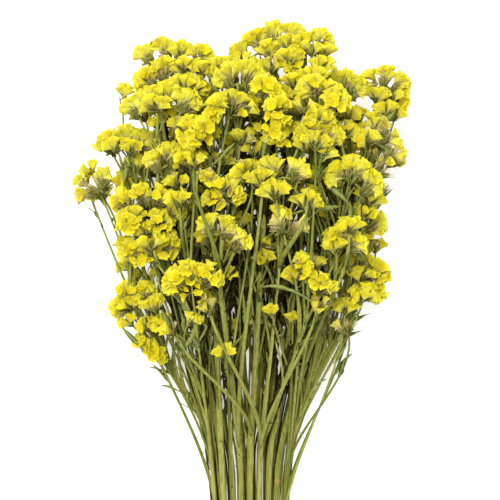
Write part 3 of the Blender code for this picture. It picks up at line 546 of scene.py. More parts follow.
# What each floret is made of, in millimetres and shares. A pair is a lowest and a highest value, or, for
# tone, a mean and a spread. A bract's three values are its share of the length, its breadth and its stray.
floret = {
    "size": (0.76, 1.2),
    "fold": (0.35, 0.9),
    "tone": (0.3, 0.22),
    "witherShare": 0.01,
    "witherBare": 0.3,
    "withered": (0.5, 1),
    "fresh": (0, 0.1),
    "lost": 0.1,
    "axisStray": 0.09,
    "bracts": ((0.62, 1.0, 1.6), (0.82, 0.58, 2.0)),
    "bractLength": (0.85, 1.08),
    "bractWidth": (2.8, 4.3),
    "bractThickness": 0.4,
    "bractShort": 3.0,
    "bractCurl": 0.06,
    "bractKeel": 0.5,
    "bractProfile": (0.35, 0.85, 1.0, 0.7, 0.08),
    "footStray": 0.8,
    "bristles": 5,
    "bristleFrom": (0.12, 0.5),
    "bristleLength": (7.0, 11.0),
    "bristleRoom": 0.95,
    "bristleWidth": 0.75,
    "bristleThickness": 0.45,
    "bristleStray": 0.17,
    "bristleCurl": 0.08,
    "bristleProfile": (0.9, 0.25),
}


# For each floret, whose rim lies at one point and whose stalk starts at another: the calyx itself, a
# broad bract below it, a narrow one that reaches further, and a few thin bristles between them.
def dressFlorets(rim, axis, foot, dice, small=1.0, bare=0.0):
    count = len(rim)
    size = dice.uniform(*floret["size"], count) * small
    tone = np.clip(dice.normal(*floret["tone"], count), 0, 1)
    withered = dice.random(count) < floret["witherShare"] + floret["witherBare"] * bare
    dead = np.where(withered, dice.uniform(*floret["withered"], count), dice.uniform(*floret["fresh"], count))
    kept = dice.random(count) >= bare + floret["lost"]
    kept[0] = True
    calyxAxis = unit(axis + dice.normal(0, floret["axisStray"], axis.shape))
    fold = dice.uniform(*floret["fold"], kept.sum())
    made = [(calyces(rim[kept], calyxAxis[kept], size[kept], fold, tone[kept], dead[kept], dice), paper)]
    green = []
    for share, broad, spread in floret["bracts"]:
        start = foot + dice.normal(0, floret["footStray"], foot.shape)
        way = rim - floret["bractShort"] * calyxAxis + dice.normal(0, spread, foot.shape) - start
        long = np.linalg.norm(way, axis=1) * share * dice.uniform(*floret["bractLength"], count)
        width = dice.uniform(*floret["bractWidth"], count) * broad * small
        face = np.cross(way, dice.normal(size=way.shape))
        curl = dice.normal(0, floret["bractCurl"], count)
        shade = dice.uniform(0, 1, count) ** 2
        green.append((blades(start, way, face, long, width, floret["bractThickness"], curl,
                             floret["bractProfile"], shade, keel=floret["bractKeel"]), bractGreen))
    many = floret["bristles"] * count
    pick = np.repeat(np.arange(count), floret["bristles"])
    way = unit(rim - foot)[pick] + dice.normal(0, floret["bristleStray"], (many, 3))
    share = dice.uniform(*floret["bristleFrom"], many)
    start = foot[pick] + (rim - foot)[pick] * share[:, None]
    room = floret["bristleRoom"] * (1 - share) * np.linalg.norm(rim - foot, axis=1)[pick]
    long = np.minimum(dice.uniform(*floret["bristleLength"], many), room) * small
    face = np.cross(way, dice.normal(size=way.shape))
    curl = dice.normal(0, floret["bristleCurl"], many)
    green.append((blades(start, way, face, long, floret["bristleWidth"], floret["bristleThickness"], curl,
                         floret["bristleProfile"], dice.uniform(0, 1, many)), strawTan))
    return made, green


# A comb is a long curled row of florets above its rachis. Angles are in degrees.
comb = {
    "fan": 0.55,
    "depth": 9.5,
    "step": 1.5,
    "pitch": 7.2,
    "lean": (8, 30, 54),
    "leanStray": 0.13,
    "openness": (0.4, 0.015),
    "opensFrom": 10,
    "reach": 10.6,
    "rimSpread": (0.6, 1.06),
    "gather": 0.5,
    "gatherSpread": (0.3, 0.9),
    "footStray": 0.8,
    "stalk": 8.0,
    "gaps": 0.05,
    "tilt": 22,
    "tiltStray": 0.12,
    "placeStray": 0.9,
    "cluster": 16.0,
    "clusterTilt": 25.0,
    "clusterRise": 0.2,
    "crown": 1.08,
    "dip": 0.34,
    "draw": 0.34,
    "endLean": (-50, -17, 17, 50, 0),
    "endTilt": (36, 42, 42, 36, 72),
    "branches": ((0.5, 0.14, 0.86), (0.5,)),
    "branchPitch": 5,
    "branchDown": 14,
    "branchSteps": 14,
    "branchRadius": (1.4, 1.0),
    "rachisRadius": (1.1, 1.0),
}


# Stations along a comb: where it runs, its own direction, the way its florets point and the way across.
def combRow(points, nod, swing, pitch):
    line = smoothPath(points, pitch)
    along = unit(np.gradient(line, axis=0))
    out = line - line.mean(0)
    lean = facing(nod, swing) + comb["fan"] * out / np.linalg.norm(out, axis=1).max()
    up = unit(lean - (lean * along).sum(1, keepdims=True) * along)
    return {"line": line, "along": along, "up": up, "side": np.cross(along, up)}


# The way from a comb's line in to its rachis: mostly away from the florets, partly towards the fork.
def inwards(row, fork):
    return unit(-1.2 * row["up"] + 0.8 * unit(fork - row["line"]))


# How far from the fork a main comb's further branches leave the stem, negative below it.
def branchStart(order):
    return comb["branchPitch"] * order - comb["branchDown"]


# Stations along a comb, with its rachis below it on the side of the fork.
def combStations(points, nod, swing, fork):
    row = combRow(points, nod, swing, comb["step"])
    row["rachis"] = row["line"] + inwards(row, fork) * comb["depth"]
    row["run"] = runAlong(row["line"])
    return row


# Two rows of spikelets, three florets in each, and a few more round both ends. Along the row they form
# clusters, each rounded like a small fan and drawn together at its foot; the feet in turn gather towards
# the places where the comb's branches reach it.
def dressComb(stations, joints, heading, openness, bare, dice):
    run = stations["run"]
    length = run[-1]
    perRow = max(1, round(length / comb["pitch"]))
    rows = (np.arange(perRow) + 0.5) * length / perRow
    where = np.concatenate([rows - comb["pitch"] / 4, rows + comb["pitch"] / 4])
    side = np.repeat([-1.0, 1.0], perRow)
    lean = openness * side[:, None] * np.radians(comb["lean"])
    lean = lean + dice.normal(0, comb["leanStray"], lean.shape)
    tilt = np.radians(comb["tilt"]) * (2 * where / length - 1)[:, None]
    tilt = tilt + dice.normal(0, comb["tiltStray"], lean.shape)
    where = where[:, None] + dice.normal(0, comb["placeStray"], lean.shape)
    endLean, endTilt = openness * np.radians(comb["endLean"]), np.radians(comb["endTilt"])
    atEnd = len(endLean)
    where = np.concatenate([where.ravel(), np.zeros(atEnd), np.full(atEnd, length)])
    tilt = np.concatenate([tilt.ravel(), -endTilt, endTilt])
    lean = np.concatenate([lean.ravel(), endLean, endLean])
    clusters = max(1, round(length / comb["cluster"]))
    middle = (np.clip(np.floor(where / length * clusters), 0, clusters - 1) + 0.5) * length / clusters
    off = 2 * clusters * (where - middle) / length
    tilt = tilt + np.radians(comb["clusterTilt"]) * off
    place, along, up, across = (atRun(run, stations[k], where) for k in ("line", "along", "up", "side"))
    axis = np.cos(tilt)[:, None] * (np.cos(lean)[:, None] * up + np.sin(lean)[:, None] * across)
    axis = axis + np.sin(tilt)[:, None] * along
    rise = dice.normal(1, comb["clusterRise"], clusters)
    taller = rise[np.round(middle / length * clusters - 0.5).astype(int)]
    reach = comb["reach"] * taller * (comb["crown"] - comb["dip"] * off**2)
    reach = reach * dice.uniform(*comb["rimSpread"], len(axis))
    rim = place + axis * reach[:, None] + (along * ((middle - where) * comb["draw"])[:, None])
    keep = dice.random(len(axis)) > comb["gaps"]
    axis, rim, middle = axis[keep], rim[keep], middle[keep]
    joints = np.array(joints)
    nearest = joints[np.abs(joints[None] - middle[:, None] / length).argmin(1)]
    gathered = atRun(run, stations["rachis"], nearest * length) - comb["stalk"] * heading
    foot = atRun(run, stations["rachis"], middle)
    foot = foot + (gathered - foot) * comb["gather"] * dice.uniform(*comb["gatherSpread"], (len(axis), 1))
    foot = foot + dice.normal(0, comb["footStray"], foot.shape)
    made, green = dressFlorets(rim, axis, foot, dice, bare=bare)
    green.append((tube(stations["rachis"][::3], *comb["rachisRadius"], 0.4), bractGreen))
    return made, green


# A fan is a small head whose florets spread from one point like a shuttlecock.
fan = {
    "pitch": 7.2,
    "rows": (-20, 0, 20),
    "faceRows": (-48, -24, 0, 24, 48),
    "facing": 42,
    "jitter": 6.0,
    "rim": (0.84, 1.08),
    "foot": (0.02, 0.28),
    "small": 0.96,
    "bladeCount": 9,
    "bladeRise": 18,
    "bladeStray": 0.6,
    "bladeLength": (0.45, 0.8),
    "bladeWidth": (2.6, 4.2),
    "bladeThickness": 0.4,
    "bladeCurl": (0.05, 0.08),
    "bladeTone": (0, 0.6),
    "bladeKeel": 0.4,
}


# Rows of florets round one point, each row spread evenly to both sides with some jitter, their rims at
# about one radius and their feet near the point, with green blades between them.
def dressFan(root, way, across, spread, radius, bare, dice):
    deep = np.cross(across, way)
    rows = fan["faceRows" if way[2] > np.sin(np.radians(fan["facing"])) else "rows"]
    perRow = max(2, round(2 * spread / np.degrees(fan["pitch"] / radius)))
    turn = np.linspace(-spread, spread, perRow)[None] + dice.normal(0, fan["jitter"], (len(rows), perRow))
    rise = np.array(rows)[:, None] + dice.normal(0, fan["jitter"], turn.shape)
    axis = fanWays(turn.ravel(), rise.ravel(), way, across, deep)
    rim = root + axis * radius * dice.uniform(*fan["rim"], (len(axis), 1))
    foot = root + axis * radius * dice.uniform(*fan["foot"], (len(axis), 1))
    made, green = dressFlorets(rim, axis, foot, dice, fan["small"], bare)
    count = fan["bladeCount"]
    turn, rise = dice.uniform(-spread, spread, count), dice.normal(0, fan["bladeRise"], count)
    ways = fanWays(turn, rise, way, across, deep)
    start = root + dice.normal(0, fan["bladeStray"], (count, 3))
    long = radius * dice.uniform(*fan["bladeLength"], count)
    width = dice.uniform(*fan["bladeWidth"], count)
    curl = dice.normal(*fan["bladeCurl"], count)
    tone = dice.uniform(*fan["bladeTone"], count)
    green.append((blades(start, ways, np.cross(ways, across), long, width, fan["bladeThickness"], curl,
                         floret["bractProfile"], tone, keel=fan["bladeKeel"]), bractGreen))
    return made, green


# Directions spread sideways by turn and out of the fan's plane by rise, in degrees.
def fanWays(turn, rise, way, across, deep):
    turn, rise = np.radians(turn)[:, None], np.radians(rise)[:, None]
    return np.cos(rise) * (np.cos(turn) * way + np.sin(turn) * across) + np.sin(rise) * deep


# A stem's section and what happens along it, in millimetres.
stem = {
    "step": 4.0,
    "around": 18,
    "footRadius": 2.4,
    "wing": 3.15,
    "thickness": 1.45,
    "tipShare": 0.62,
    "core": 0.66,
    "coreThickness": 0.9,
    "wingReach": 1.04,
    "wingEdge": 0.27,
    "ripple": 0.2,
    "rippleRun": (11, 4.3),
    "rippleShare": 0.6,
    "ribs": 9,
    "ribDepth": 0.05,
    "cutY": 291.4,
    "neckY": 187.0,
    "straight": 24,
    "shadeRun": 520,
    "paleWingAndHighlightReach": 0.9,
    "nodes": 6,
    "nodePitch": (90.0, 220.0),
    "nodeLength": 2.8,
}


# The winged stem: an oval core with two thin wings that ripple and turn slowly on the way up.
def stemRings(path, turnRate, tone, dice):
    e1, e2 = acrossPath(path, np.array([1.0, 0.0, 0.0]))
    y = path[:, 1] + stem["cutY"]
    rise = np.clip(y / stem["neckY"], 0, 1)
    share = 1 - (1 - stem["tipShare"]) * np.linspace(0, 1, len(path)) ** 1.5
    wide = (stem["footRadius"] + (stem["wing"] - stem["footRadius"]) * rise) * share
    thin = (stem["footRadius"] + (stem["thickness"] - stem["footRadius"]) * rise) * share
    run = np.arange(len(path)) * stem["step"]
    phase = dice.uniform(0, 6, 4)
    around = np.arange(stem["around"]) * 2 * np.pi / stem["around"]
    core = np.stack([stem["core"] * wide, stem["coreThickness"] * thin], axis=1)
    turn = (turnRate * np.clip(y - stem["straight"], 0, None))[:, None] + around[None]
    oval = 1 / np.sqrt((np.cos(around)[None] / core[:, :1]) ** 2 + (np.sin(around)[None] / core[:, 1:]) ** 2)
    wing = np.zeros_like(oval)
    long, short = stem["rippleRun"]
    for number, middle in enumerate((0.0, np.pi)):
        off = np.abs((around - middle + np.pi) % (2 * np.pi) - np.pi)
        finer = stem["rippleShare"] * np.sin(run / short + phase[number + 2])
        ripple = np.sin(run / long + phase[number]) + finer
        edge = (wide * stem["wingReach"] - core[:, 0]) * (1 + stem["ripple"] * ripple) * rise
        wing += np.exp(-((off / stem["wingEdge"]) ** 2))[None] * edge[:, None]
    radius = oval + wing + stem["ribDepth"] * wide[:, None] * np.cos(stem["ribs"] * around)[None]
    out = np.cos(turn)[..., None] * e1[:, None] + np.sin(turn)[..., None] * e2[:, None]
    look = np.empty((1, len(path), stem["around"], 3))
    look[..., 0] = np.clip(y / stem["shadeRun"], 0, 1)[None, :, None]
    look[..., 1] = tone
    knots = np.cumsum(dice.uniform(*stem["nodePitch"], stem["nodes"]))
    knot = np.exp(-(((run[:, None] - knots[None]) / stem["nodeLength"]) ** 2)).sum(1)
    # z grows over each wing towards its edge, where the stem is painted paler with a painted highlight, and
    # drops below zero at the nodes
    look[..., 2] = (np.clip(wing / stem["paleWingAndHighlightReach"], 0, 1) * (1 - knot[:, None]) - knot[:, None])[None]
    return closedRings((path[:, None] + radius[..., None] * out)[None], look)


# large is a stem's large leaves, broad the ones placed one by one, stipule the narrow ones at the nodes,
# dry the curled ends of dead ones and old the dead leaves low in the bunch; the dry and old ones are painted
# near black, as painted shade in the bunch's deep gaps. onStem and onTwig are how many narrow and how many
# dry ones a stem and a twig carry, and how far up the narrow ones start.
leaf = {
    "profile": (0.3, 0.55, 0.85, 1.0, 0.97, 0.84, 0.62, 0.34, 0.06),
    "thin": (0.35, 0.8, 1.0, 0.9, 0.65, 0.35, 0.06),
    "large": {"length": 33.0, "width": 6.8, "thickness": 0.5, "curl": -0.17,
              "keel": 0.3, "wave": 0.3, "tone": (0, 0.7)},
    "broad": {"width": 0.86, "thickness": 0.25, "curl": -0.12, "keel": 0.3, "wave": 0.25,
              "tone": (0.2, 0.9), "back": 8, "down": (0, 12, 4), "pull": 0.4},
    "onStem": (9, 5, 0.6),
    "onTwig": (2, 1, 0.6),
    "node": {"until": 0.97, "vary": (0.5, 1.3), "thickness": 0.3, "keel": 0.35, "wave": 0.3},
    "stipule": {"length": (12.0, 27.0), "width": 4.2, "stand": 0.36, "curl": (-0.12, 0.15)},
    "dry": {"length": (5.0, 11.0), "width": 1.5, "stand": 0.7, "curl": (-0.9, -0.2), "from": 0.15},
    "old": {"count": 58, "length": (18.0, 36.0), "width": (5.0, 9.0), "thickness": 0.4,
            "curl": (-0.1, 0.15), "keel": 0.35, "wave": 0.3, "faceStray": 0.5, "fall": -0.6,
            "along": (0.56, 0.96), "middle": 6.0, "half": 58.0, "flare": 0.35, "widest": 92.0,
            "near": (20, 80), "spread": (0.12, 0.42)},
}


# Narrow leaves that stand off a stem at its nodes, and dry curled ends of others, these painted near black as
# painted shade.
def nodeLeaves(path, dice, count, curled, low):
    run, ways, node = runAlong(path), np.gradient(path, axis=0), leaf["node"]
    made = []
    for number, first, dry in ((count, low, False), (curled, leaf["dry"]["from"], True)):
        kind = leaf["dry" if dry else "stipule"]
        where = dice.uniform(first, node["until"], number) * run[-1]
        root = atRun(run, path, where)
        way = unit(atRun(run, ways, where))
        out = unit(np.cross(way, dice.normal(size=(number, 3))))
        long = dice.uniform(*kind["length"], number)
        curl = (dice.uniform if dry else dice.normal)(*kind["curl"], number)
        width = kind["width"] * dice.uniform(*node["vary"], number)
        tone = dice.uniform(0, 1, number)
        made.append((blades(root, way + kind["stand"] * out, -out, long, width, node["thickness"], curl,
                            leaf["thin"], tone, keel=node["keel"], wave=node["wave"],
                            phase=dice.uniform(0, 6)), deadLeafAndPaintedShade if dry else leafGreen))
    return made


# Old leaves that hang down from a stem's upper part into the bunch, and thin dry stalks that run low
# beside the whole of it. The leaves and some of the stalks are painted near black: painted shade that
# darkens the gaps low in the bunch.
under = {
    "stalks": 2,
    "aside": 4.5,
    "sway": 3,
    "swayTurns": (3, 7),
    "asideWithin": 5,
    "shade": (0, 0.8),
    "drop": (0.25, 0.8),
    "radius": (1.3, 0.8),
    "reach": (0.55, 0.95),
    "least": 1.2,
}


def underGrowth(path, dice):
    made, run, old = [], runAlong(path), leaf["old"]
    root = atRun(run, path, dice.uniform(*old["along"], old["count"]) * run[-1])
    aside = np.minimum(old["half"] + old["flare"] * root[:, 1], old["widest"])
    root = root[np.abs(root[:, 0] - old["middle"]) < aside]
    many = len(root)
    spread = np.interp(root[:, 1:2], old["near"], old["spread"])
    way = unit(path[-1] - path[len(path) // 2]) + spread * dice.normal(size=root.shape) + (0, 0, old["fall"])
    face = np.array([0.0, 0.0, 1.0]) + dice.normal(0, old["faceStray"], root.shape)
    if many:
        long, width = dice.uniform(*old["length"], many), dice.uniform(*old["width"], many)
        curl, tone = dice.normal(*old["curl"], many), dice.uniform(0, 1, many)
        made.append((blades(root, way, face, long, width, old["thickness"], curl, leaf["thin"], tone,
                            keel=old["keel"], wave=old["wave"]), deadLeafAndPaintedShade))
    for side in dice.uniform(-1, 1, under["stalks"]):
        line = path[:round(dice.uniform(*under["reach"]) * len(path))].copy()
        t = np.linspace(0, 1, len(line))
        sway = under["sway"] * np.sin(dice.uniform(*under["swayTurns"]) * t) * t
        line[:, 0] += under["aside"] * side * np.minimum(1, under["asideWithin"] * t) + sway
        line[:, 2] = np.maximum(line[:, 2] * dice.uniform(*under["drop"]), under["least"])
        stalk = tube(line[::2], *under["radius"], dice.random(), dice.uniform(*under["shade"]))
        made.append((stalk, dice.choice([deadLeafAndPaintedShade, stemGreen])))
    return made


# How the stems are laid out. They start in rows of feet, gather at the neck, spread to their forks and
# carry their combs. Balls round combs, bracts and branches keep the heads clear of one another.
lay = {
    "seed": 41,
    "columns": 9,
    "footPitch": 5.0,
    "footRadius": 2.3,
    "neckSpread": 1.75,
    "pitch": 9.6,
    "zigzag": 2.2,
    "drop": 56.0,
    "forkTurn": 0.45,
    "leastFork": 9.0,
    "combClear": 12.9,
    "combLift": 1.5,
    "bractClear": 4.2,
    "bractLift": 2,
    "branchClear": 2.0,
    "nearFork": 9.0,
    "sideRounds": 60,
    "sideSpare": 0.8,
    "sidePush": 0.5,
    "sideDone": 0.05,
    "lowHeads": 30.0,
    "lowSink": 0.5,
    "restHeight": 10.7,
    "restAbove": 2.0,
    "headSpare": 0.6,
    "headPush": 0.35,
    "headHold": 0.998,
    "ease": (0.6, 0.6, 1.0),
    "settleRounds": 150,
    "routeStep": 12.0,
    "routeRounds": 320,
    "routeSmooth": 0.3,
    "routeMost": 3,
    "footHeld": 3,
    "forkShort": 14,
    "forkOver": 4,
    "stemGap": 6.3,
    "stemPush": 0.45,
    "stemToHead": 4.2,
    "headStemPush": 0.4,
    "overFloor": 0.3,
    "straightWithin": 0.45,
    "longestRun": 7,
    "cutSpread": 14.0,
    "turns": 0.3,
    "leafShares": (0.12, 0.82),
    "leafReach": (12.8, 22.4, 32.0),
    "leafTurns": 10,
    "leafSpin": 0.5,
    "leafAhead": 0.86,
    "leafOut": 0.5,
    "leafStem": 3,
}


# A comb's bracts reach in and towards the fork, every other one a little less.
def bractTips(row, fork):
    zigzag = np.where(np.arange(len(row["line"])) % 2, lay["zigzag"], 0.0)
    return row["line"] + inwards(row, fork) * (comb["depth"] - zigzag)[:, None]


# Leaves its start along heading and bends over to its end: a quadratic curve.
def branchCurve(start, end, heading, steps):
    bend = start + heading * 0.5 * np.linalg.norm(end - start)
    t = np.linspace(0, 1, steps + 1)[:, None]
    return (1 - t) ** 2 * start + 2 * t * (1 - t) * bend + t**2 * end


# The branches to one comb, each ending halfway between its ridge and the tips of its bracts. The first
# one carries the stem on, and the others leave the stem below its fork.
def branchesOf(plan, which):
    row, fork, heading = plan["rows"][which], plan["fork"], plan["heading"]
    tips = bractTips(row, fork)
    made = []
    for order, share in enumerate(comb["branches"][which]):
        place = round(share * (len(tips) - 1))
        start = fork + branchStart(order) * heading if order else fork
        made.append(branchCurve(start, 0.5 * (row["line"][place] + tips[place]), heading, 2 if order else 3))
    return made


# Balls of one radius round points, as rows of x, y, z and radius.
def ballsAt(points, radius):
    return np.column_stack([points, np.full(len(points), radius)])


# Large balls along a comb's florets and small ones along the tips of its bracts.
def combBalls(plan, which):
    row = plan["rows"][which]
    florets, bracts = row["line"], bractTips(row, plan["fork"])
    return np.vstack([ballsAt(florets + lay["combLift"] * row["up"], lay["combClear"]),
                      ballsAt(bracts + lay["bractLift"] * row["up"], lay["bractClear"])])


# Small balls at the points of a comb's branches and halfway between them.
def branchBalls(plan, which):
    lines = [np.vstack([line, (line[1:] + line[:-1]) / 2]) for line in branchesOf(plan, which)]
    return ballsAt(np.vstack(lines), lay["branchClear"])


# The balls round everything that a stem carries, one comb after the other.
def headBalls(plan):
    every = range(len(plan["rows"]))
    return np.vstack([found(plan, which) for which in every for found in (combBalls, branchBalls)])


# How far two sets of balls run into each other at worst, and the way in which the first should move.
def deepest(first, second, spare):
    gap = first[:, None, :3] - second[None, :, :3]
    far = np.linalg.norm(gap, axis=2) + 1e-6
    deep = first[:, None, 3] + second[None, :, 3] + spare - far
    a, b = np.unravel_index(deep.argmax(), deep.shape)
    return deep[a, b], gap[a, b] / far[a, b]


# Each stem's foot, fork and combs where the table puts them. The lowest heads take the lowest row of
# feet, and within a row the feet follow the heads from left to right.
def makePlans():
    middles = [np.mean(head["combs"][0][0], axis=0) for head in heads]
    order = sorted(range(len(heads)), key=lambda i: middles[i][2])
    plans = []
    for number, head in enumerate(heads):
        level = order.index(number) // lay["columns"]
        mates = order[level * lay["columns"]:(level + 1) * lay["columns"]]
        column = sorted(mates, key=lambda i: middles[i][0]).index(number) - (lay["columns"] - 1) / 2
        foot = np.array([column * lay["footPitch"], 0, lay["footRadius"] + level * lay["footPitch"]])
        neck = np.array([foot[0] * lay["neckSpread"], stem["neckY"], foot[2] * lay["neckSpread"]])
        rows = [combRow(points, nod, swing, lay["pitch"]) for points, nod, seen, swing, bare in head["combs"]]
        middle = rows[0]["line"].mean(0)
        heading = unit(middle - neck)
        points, nod, seen, swing, bare = head["combs"][0]
        down = unit(lay["forkTurn"] * facing(nod, swing) + (1 - lay["forkTurn"]) * heading)
        fork = middle - head.get("drop", lay["drop"]) * down
        fork[2] = max(fork[2], lay["leastFork"])
        plan = {"foot": foot, "neck": neck, "heading": heading, "fork": fork, "rows": rows}
        plan["first"] = [row["line"][0] for row in rows]
        plans.append(plan)
    return plans


# Slides a stem's side comb away from its main comb and from the branches of both.
def clearSideComb(plan):
    for _ in range(lay["sideRounds"]):
        side, main = (combBalls(plan, which) for which in (1, 0))
        lines = [branchBalls(plan, which) for which in (1, 0)]
        lines = [line[np.linalg.norm(line[:, :3] - plan["fork"], axis=1) > lay["nearFork"]] for line in lines]
        depth = 0.0
        for mover, fixed in ((side, main), (side, lines[1]), (lines[0], main)):
            deep, way = deepest(mover, fixed, lay["sideSpare"])
            if deep > 0:
                depth = max(depth, deep)
                plan["rows"][1]["line"] = plan["rows"][1]["line"] + lay["sidePush"] * deep * way
        if depth <= lay["sideDone"]:
            break


# Slides whole heads apart until their balls are clear, more readily up and down than sideways.
def settle(plans):
    for plan in plans:
        if len(plan["rows"]) > 1:
            clearSideComb(plan)
    balls = [headBalls(plan) for plan in plans]
    lowest = np.array([min(row["line"][:, 2].min() for row in plan["rows"]) for plan in plans])
    low = lowest < lay["lowHeads"]
    moves, ease = np.zeros((len(plans), 3)), np.array(lay["ease"])
    for _ in range(lay["settleRounds"]):
        push = np.zeros_like(moves)
        for i in range(len(plans)):
            for j in range(i + 1, len(plans)):
                first, second = balls[i].copy(), balls[j].copy()
                first[:, :3] += moves[i]
                second[:, :3] += moves[j]
                deep, way = deepest(first, second, lay["headSpare"])
                if deep > 0:
                    push[i] += lay["headPush"] * deep * way * ease
                    push[j] -= lay["headPush"] * deep * way * ease
        moves = lay["headHold"] * (moves + push)
        moves[low, 2] -= lay["lowSink"]
        moves[:, 2] = np.maximum(moves[:, 2], lay["restHeight"] + lay["restAbove"] * ~low - lowest)
    for plan, move in zip(plans, moves):
        plan["fork"] = plan["fork"] + move
        for row in plan["rows"]:
            row["line"] = row["line"] + move


# The points that a path needs to stay close to its full course.
def fewPoints(line):
    kept, first = [0], 0
    for last in range(2, len(line)):
        chord = line[first] + np.linspace(0, 1, last - first + 1)[:, None] * (line[last] - line[first])
        strays = np.linalg.norm(chord - line[first:last + 1], axis=1).max() > lay["straightWithin"]
        if strays or last - first > lay["longestRun"]:
            first = last - 1
            kept.append(first)
    return line[kept + [len(line) - 1]]


# Leads every stem from its foot through the neck to its fork. At each level along the bunch a stem is
# one point across it, and these points are smoothed along the stem and pushed clear of other stems and
# of other stems' heads.
def routeStems(plans):
    count = len(plans)
    feet, necks, forks, ways = (np.array([p[k] for p in plans]) for k in ("foot", "neck", "fork", "heading"))
    levels = np.arange(0.0, forks[:, 1].max() + 3 * lay["routeStep"], lay["routeStep"])
    y, neckY, flat = levels[None, :], stem["neckY"], [0, 2]
    lower = np.clip(y / neckY, 0, 1)[..., None]
    upper = np.clip((y - neckY) / (forks[:, 1:2] - neckY), 0, None)[..., None]
    line = feet[:, None, flat] + (necks - feet)[:, None, flat] * lower
    line = line + (forks - necks)[:, None, flat] * upper
    beyond = y > forks[:, 1:2] - 0.5 * lay["routeStep"]
    runOn = forks[:, None, flat] + ways[:, None, flat] * ((y - forks[:, 1:2]) / ways[:, 1:2])[..., None]
    line = np.where(beyond[..., None], runOn, line)
    held = beyond.copy()
    held[:, :lay["footHeld"]] = True
    held[:, np.abs(levels - neckY).argmin()] = True
    there = y < forks[:, 1:2] + lay["forkOver"]
    both = there[:, None] & there[None, :] & ~np.eye(count, dtype=bool)[:, :, None]
    balls = [headBalls(plan) for plan in plans]
    owners = np.concatenate([np.full(len(found), i) for i, found in enumerate(balls)])
    balls = np.vstack(balls)
    size = balls[:, 3] + lay["stemToHead"]
    level, ball = np.nonzero(np.abs(levels[:, None] - balls[None, :, 1]) < size)
    reach = np.sqrt(size[ball] ** 2 - (levels[level] - balls[ball, 1]) ** 2)
    across = balls[ball][:, flat]
    other = owners[ball] != np.arange(count)[:, None]
    atLevel = (level[:, None] == np.arange(len(levels))).astype(float)
    for _ in range(lay["routeRounds"]):
        smooth = line.copy()
        smooth[:, 1:-1] += lay["routeSmooth"] * (line[:, :-2] + line[:, 2:] - 2 * line[:, 1:-1])
        line = np.where(held[..., None], line, smooth)
        gap = line[:, None] - line[None, :]
        far = np.linalg.norm(gap, axis=3) + 1e-6
        deep = np.where(both, np.clip(lay["stemGap"] - far, 0, None), 0)
        push = (gap / far[..., None] * deep[..., None]).sum(1) * lay["stemPush"]
        gap = line[:, level] - across
        far = np.linalg.norm(gap, axis=2) + 1e-6
        deep = np.where(other, np.clip(reach - far, 0, None), 0)
        away = gap / far[..., None] * deep[..., None]
        push += np.einsum("spc,pk->skc", away, atLevel) * lay["headStemPush"]
        line = np.where(held[..., None], line, line + np.clip(push, -lay["routeMost"], lay["routeMost"]))
        line[..., 1] = np.maximum(line[..., 1], lay["footRadius"] + lay["overFloor"])
    for i, plan in enumerate(plans):
        line[i, :lay["footHeld"]] = feet[i, flat]
        below = levels < forks[i, 1] - lay["forkShort"]
        course = np.stack([line[i, below, 0], levels[below], line[i, below, 1]], axis=1)
        plan["stem"] = np.vstack([fewPoints(course), branchesOf(plan, 0)[0]])
    return balls, owners


# Two large leaves for each stem, each turned to the side where it is furthest from its neighbours.
def leafPlaces(plans, number, balls, owners, draw):
    low, high = plans[number]["stem"][-5], plans[number]["fork"]
    heading = unit(high - low)
    across = unit(np.cross(heading, (0, 0, 1)))
    lift = np.cross(across, heading)
    balls = balls[(owners != number) | (balls[:, 3] > lay["branchClear"])]
    others = np.vstack([plan["stem"] for i, plan in enumerate(plans) if i != number])
    made = []
    for share in lay["leafShares"]:
        root = low + share * (high - low)
        turn = np.linspace(0, 2 * np.pi, lay["leafTurns"], endpoint=False) + draw.uniform(0, lay["leafSpin"])
        out = np.cos(turn)[:, None] * across + np.sin(turn)[:, None] * lift
        way = unit(lay["leafAhead"] * heading + lay["leafOut"] * out)
        probe = root + np.array(lay["leafReach"])[None, :, None] * way[:, None]
        toBalls = (np.linalg.norm(probe[:, :, None] - balls[:, :3], axis=3) - balls[:, 3]).min((1, 2))
        toStems = np.linalg.norm(probe[:, :, None] - others, axis=3).min((1, 2)) - lay["leafStem"]
        best = np.minimum(np.minimum(toBalls, toStems), probe[..., 2].min(1)).argmax()
        made.append((root, way[best], unit(np.cross(way[best], out[best]))))
    return [np.array(part) for part in zip(*made)]


# What each stem is dressed from, with the bunch's middle at the origin: its course from the cut end to
# its fork, its heading there, how fast its wings turn (radians a millimetre), its combs and its large
# leaves (root, heading, way across). Places are rounded to a tenth of a millimetre, and directions to a
# thousandth or a hundredth.
def layOut():
    plans = makePlans()
    settle(plans)
    balls, owners = routeStems(plans)
    origin = np.array([photoScale["middleX"], -stem["cutY"], 0])
    laid = []
    for number, (plan, head) in enumerate(zip(plans, heads)):
        draw = random.Random(lay["seed"] + number)
        course = plan["stem"][:-3].copy()
        course[0] += draw.uniform(0, lay["cutSpread"]) * unit(course[1] - course[0])
        turn = draw.uniform(-1, 1) * 2 * np.pi * lay["turns"] / stem["cutY"]
        combs = []
        for (points, nod, seen, swing, bare), row, first in zip(head["combs"], plan["rows"], plan["first"]):
            slid = np.array(points) + (row["line"][0] - first) + origin
            combs.append((np.round(slid, 1), seen, swing, bare))
        root, way, across = leafPlaces(plans, number, balls, owners, draw)
        laid.append({
            "stem": np.round(course + origin, 1),
            "heading": np.round(plan["heading"], 3),
            "turn": round(turn, 5),
            "combs": combs,
            "leaves": (np.round(root + origin, 1), np.round(way, 2), np.round(across, 2)),
        })
    return laid


sprays = layOut()
print("stems laid out")

stemPaths = []
for spray in sprays:
    fork = spray["stem"][-1]
    rachis = combStations(*spray["combs"][0][:3], fork)["rachis"]
    middle = rachis[len(rachis) // 2]
    carry = bentPath(fork, middle, spray["heading"], unit(middle - fork), 3)[1:]
    stemPaths.append(smoothPath(np.vstack([spray["stem"], carry]), stem["step"]))

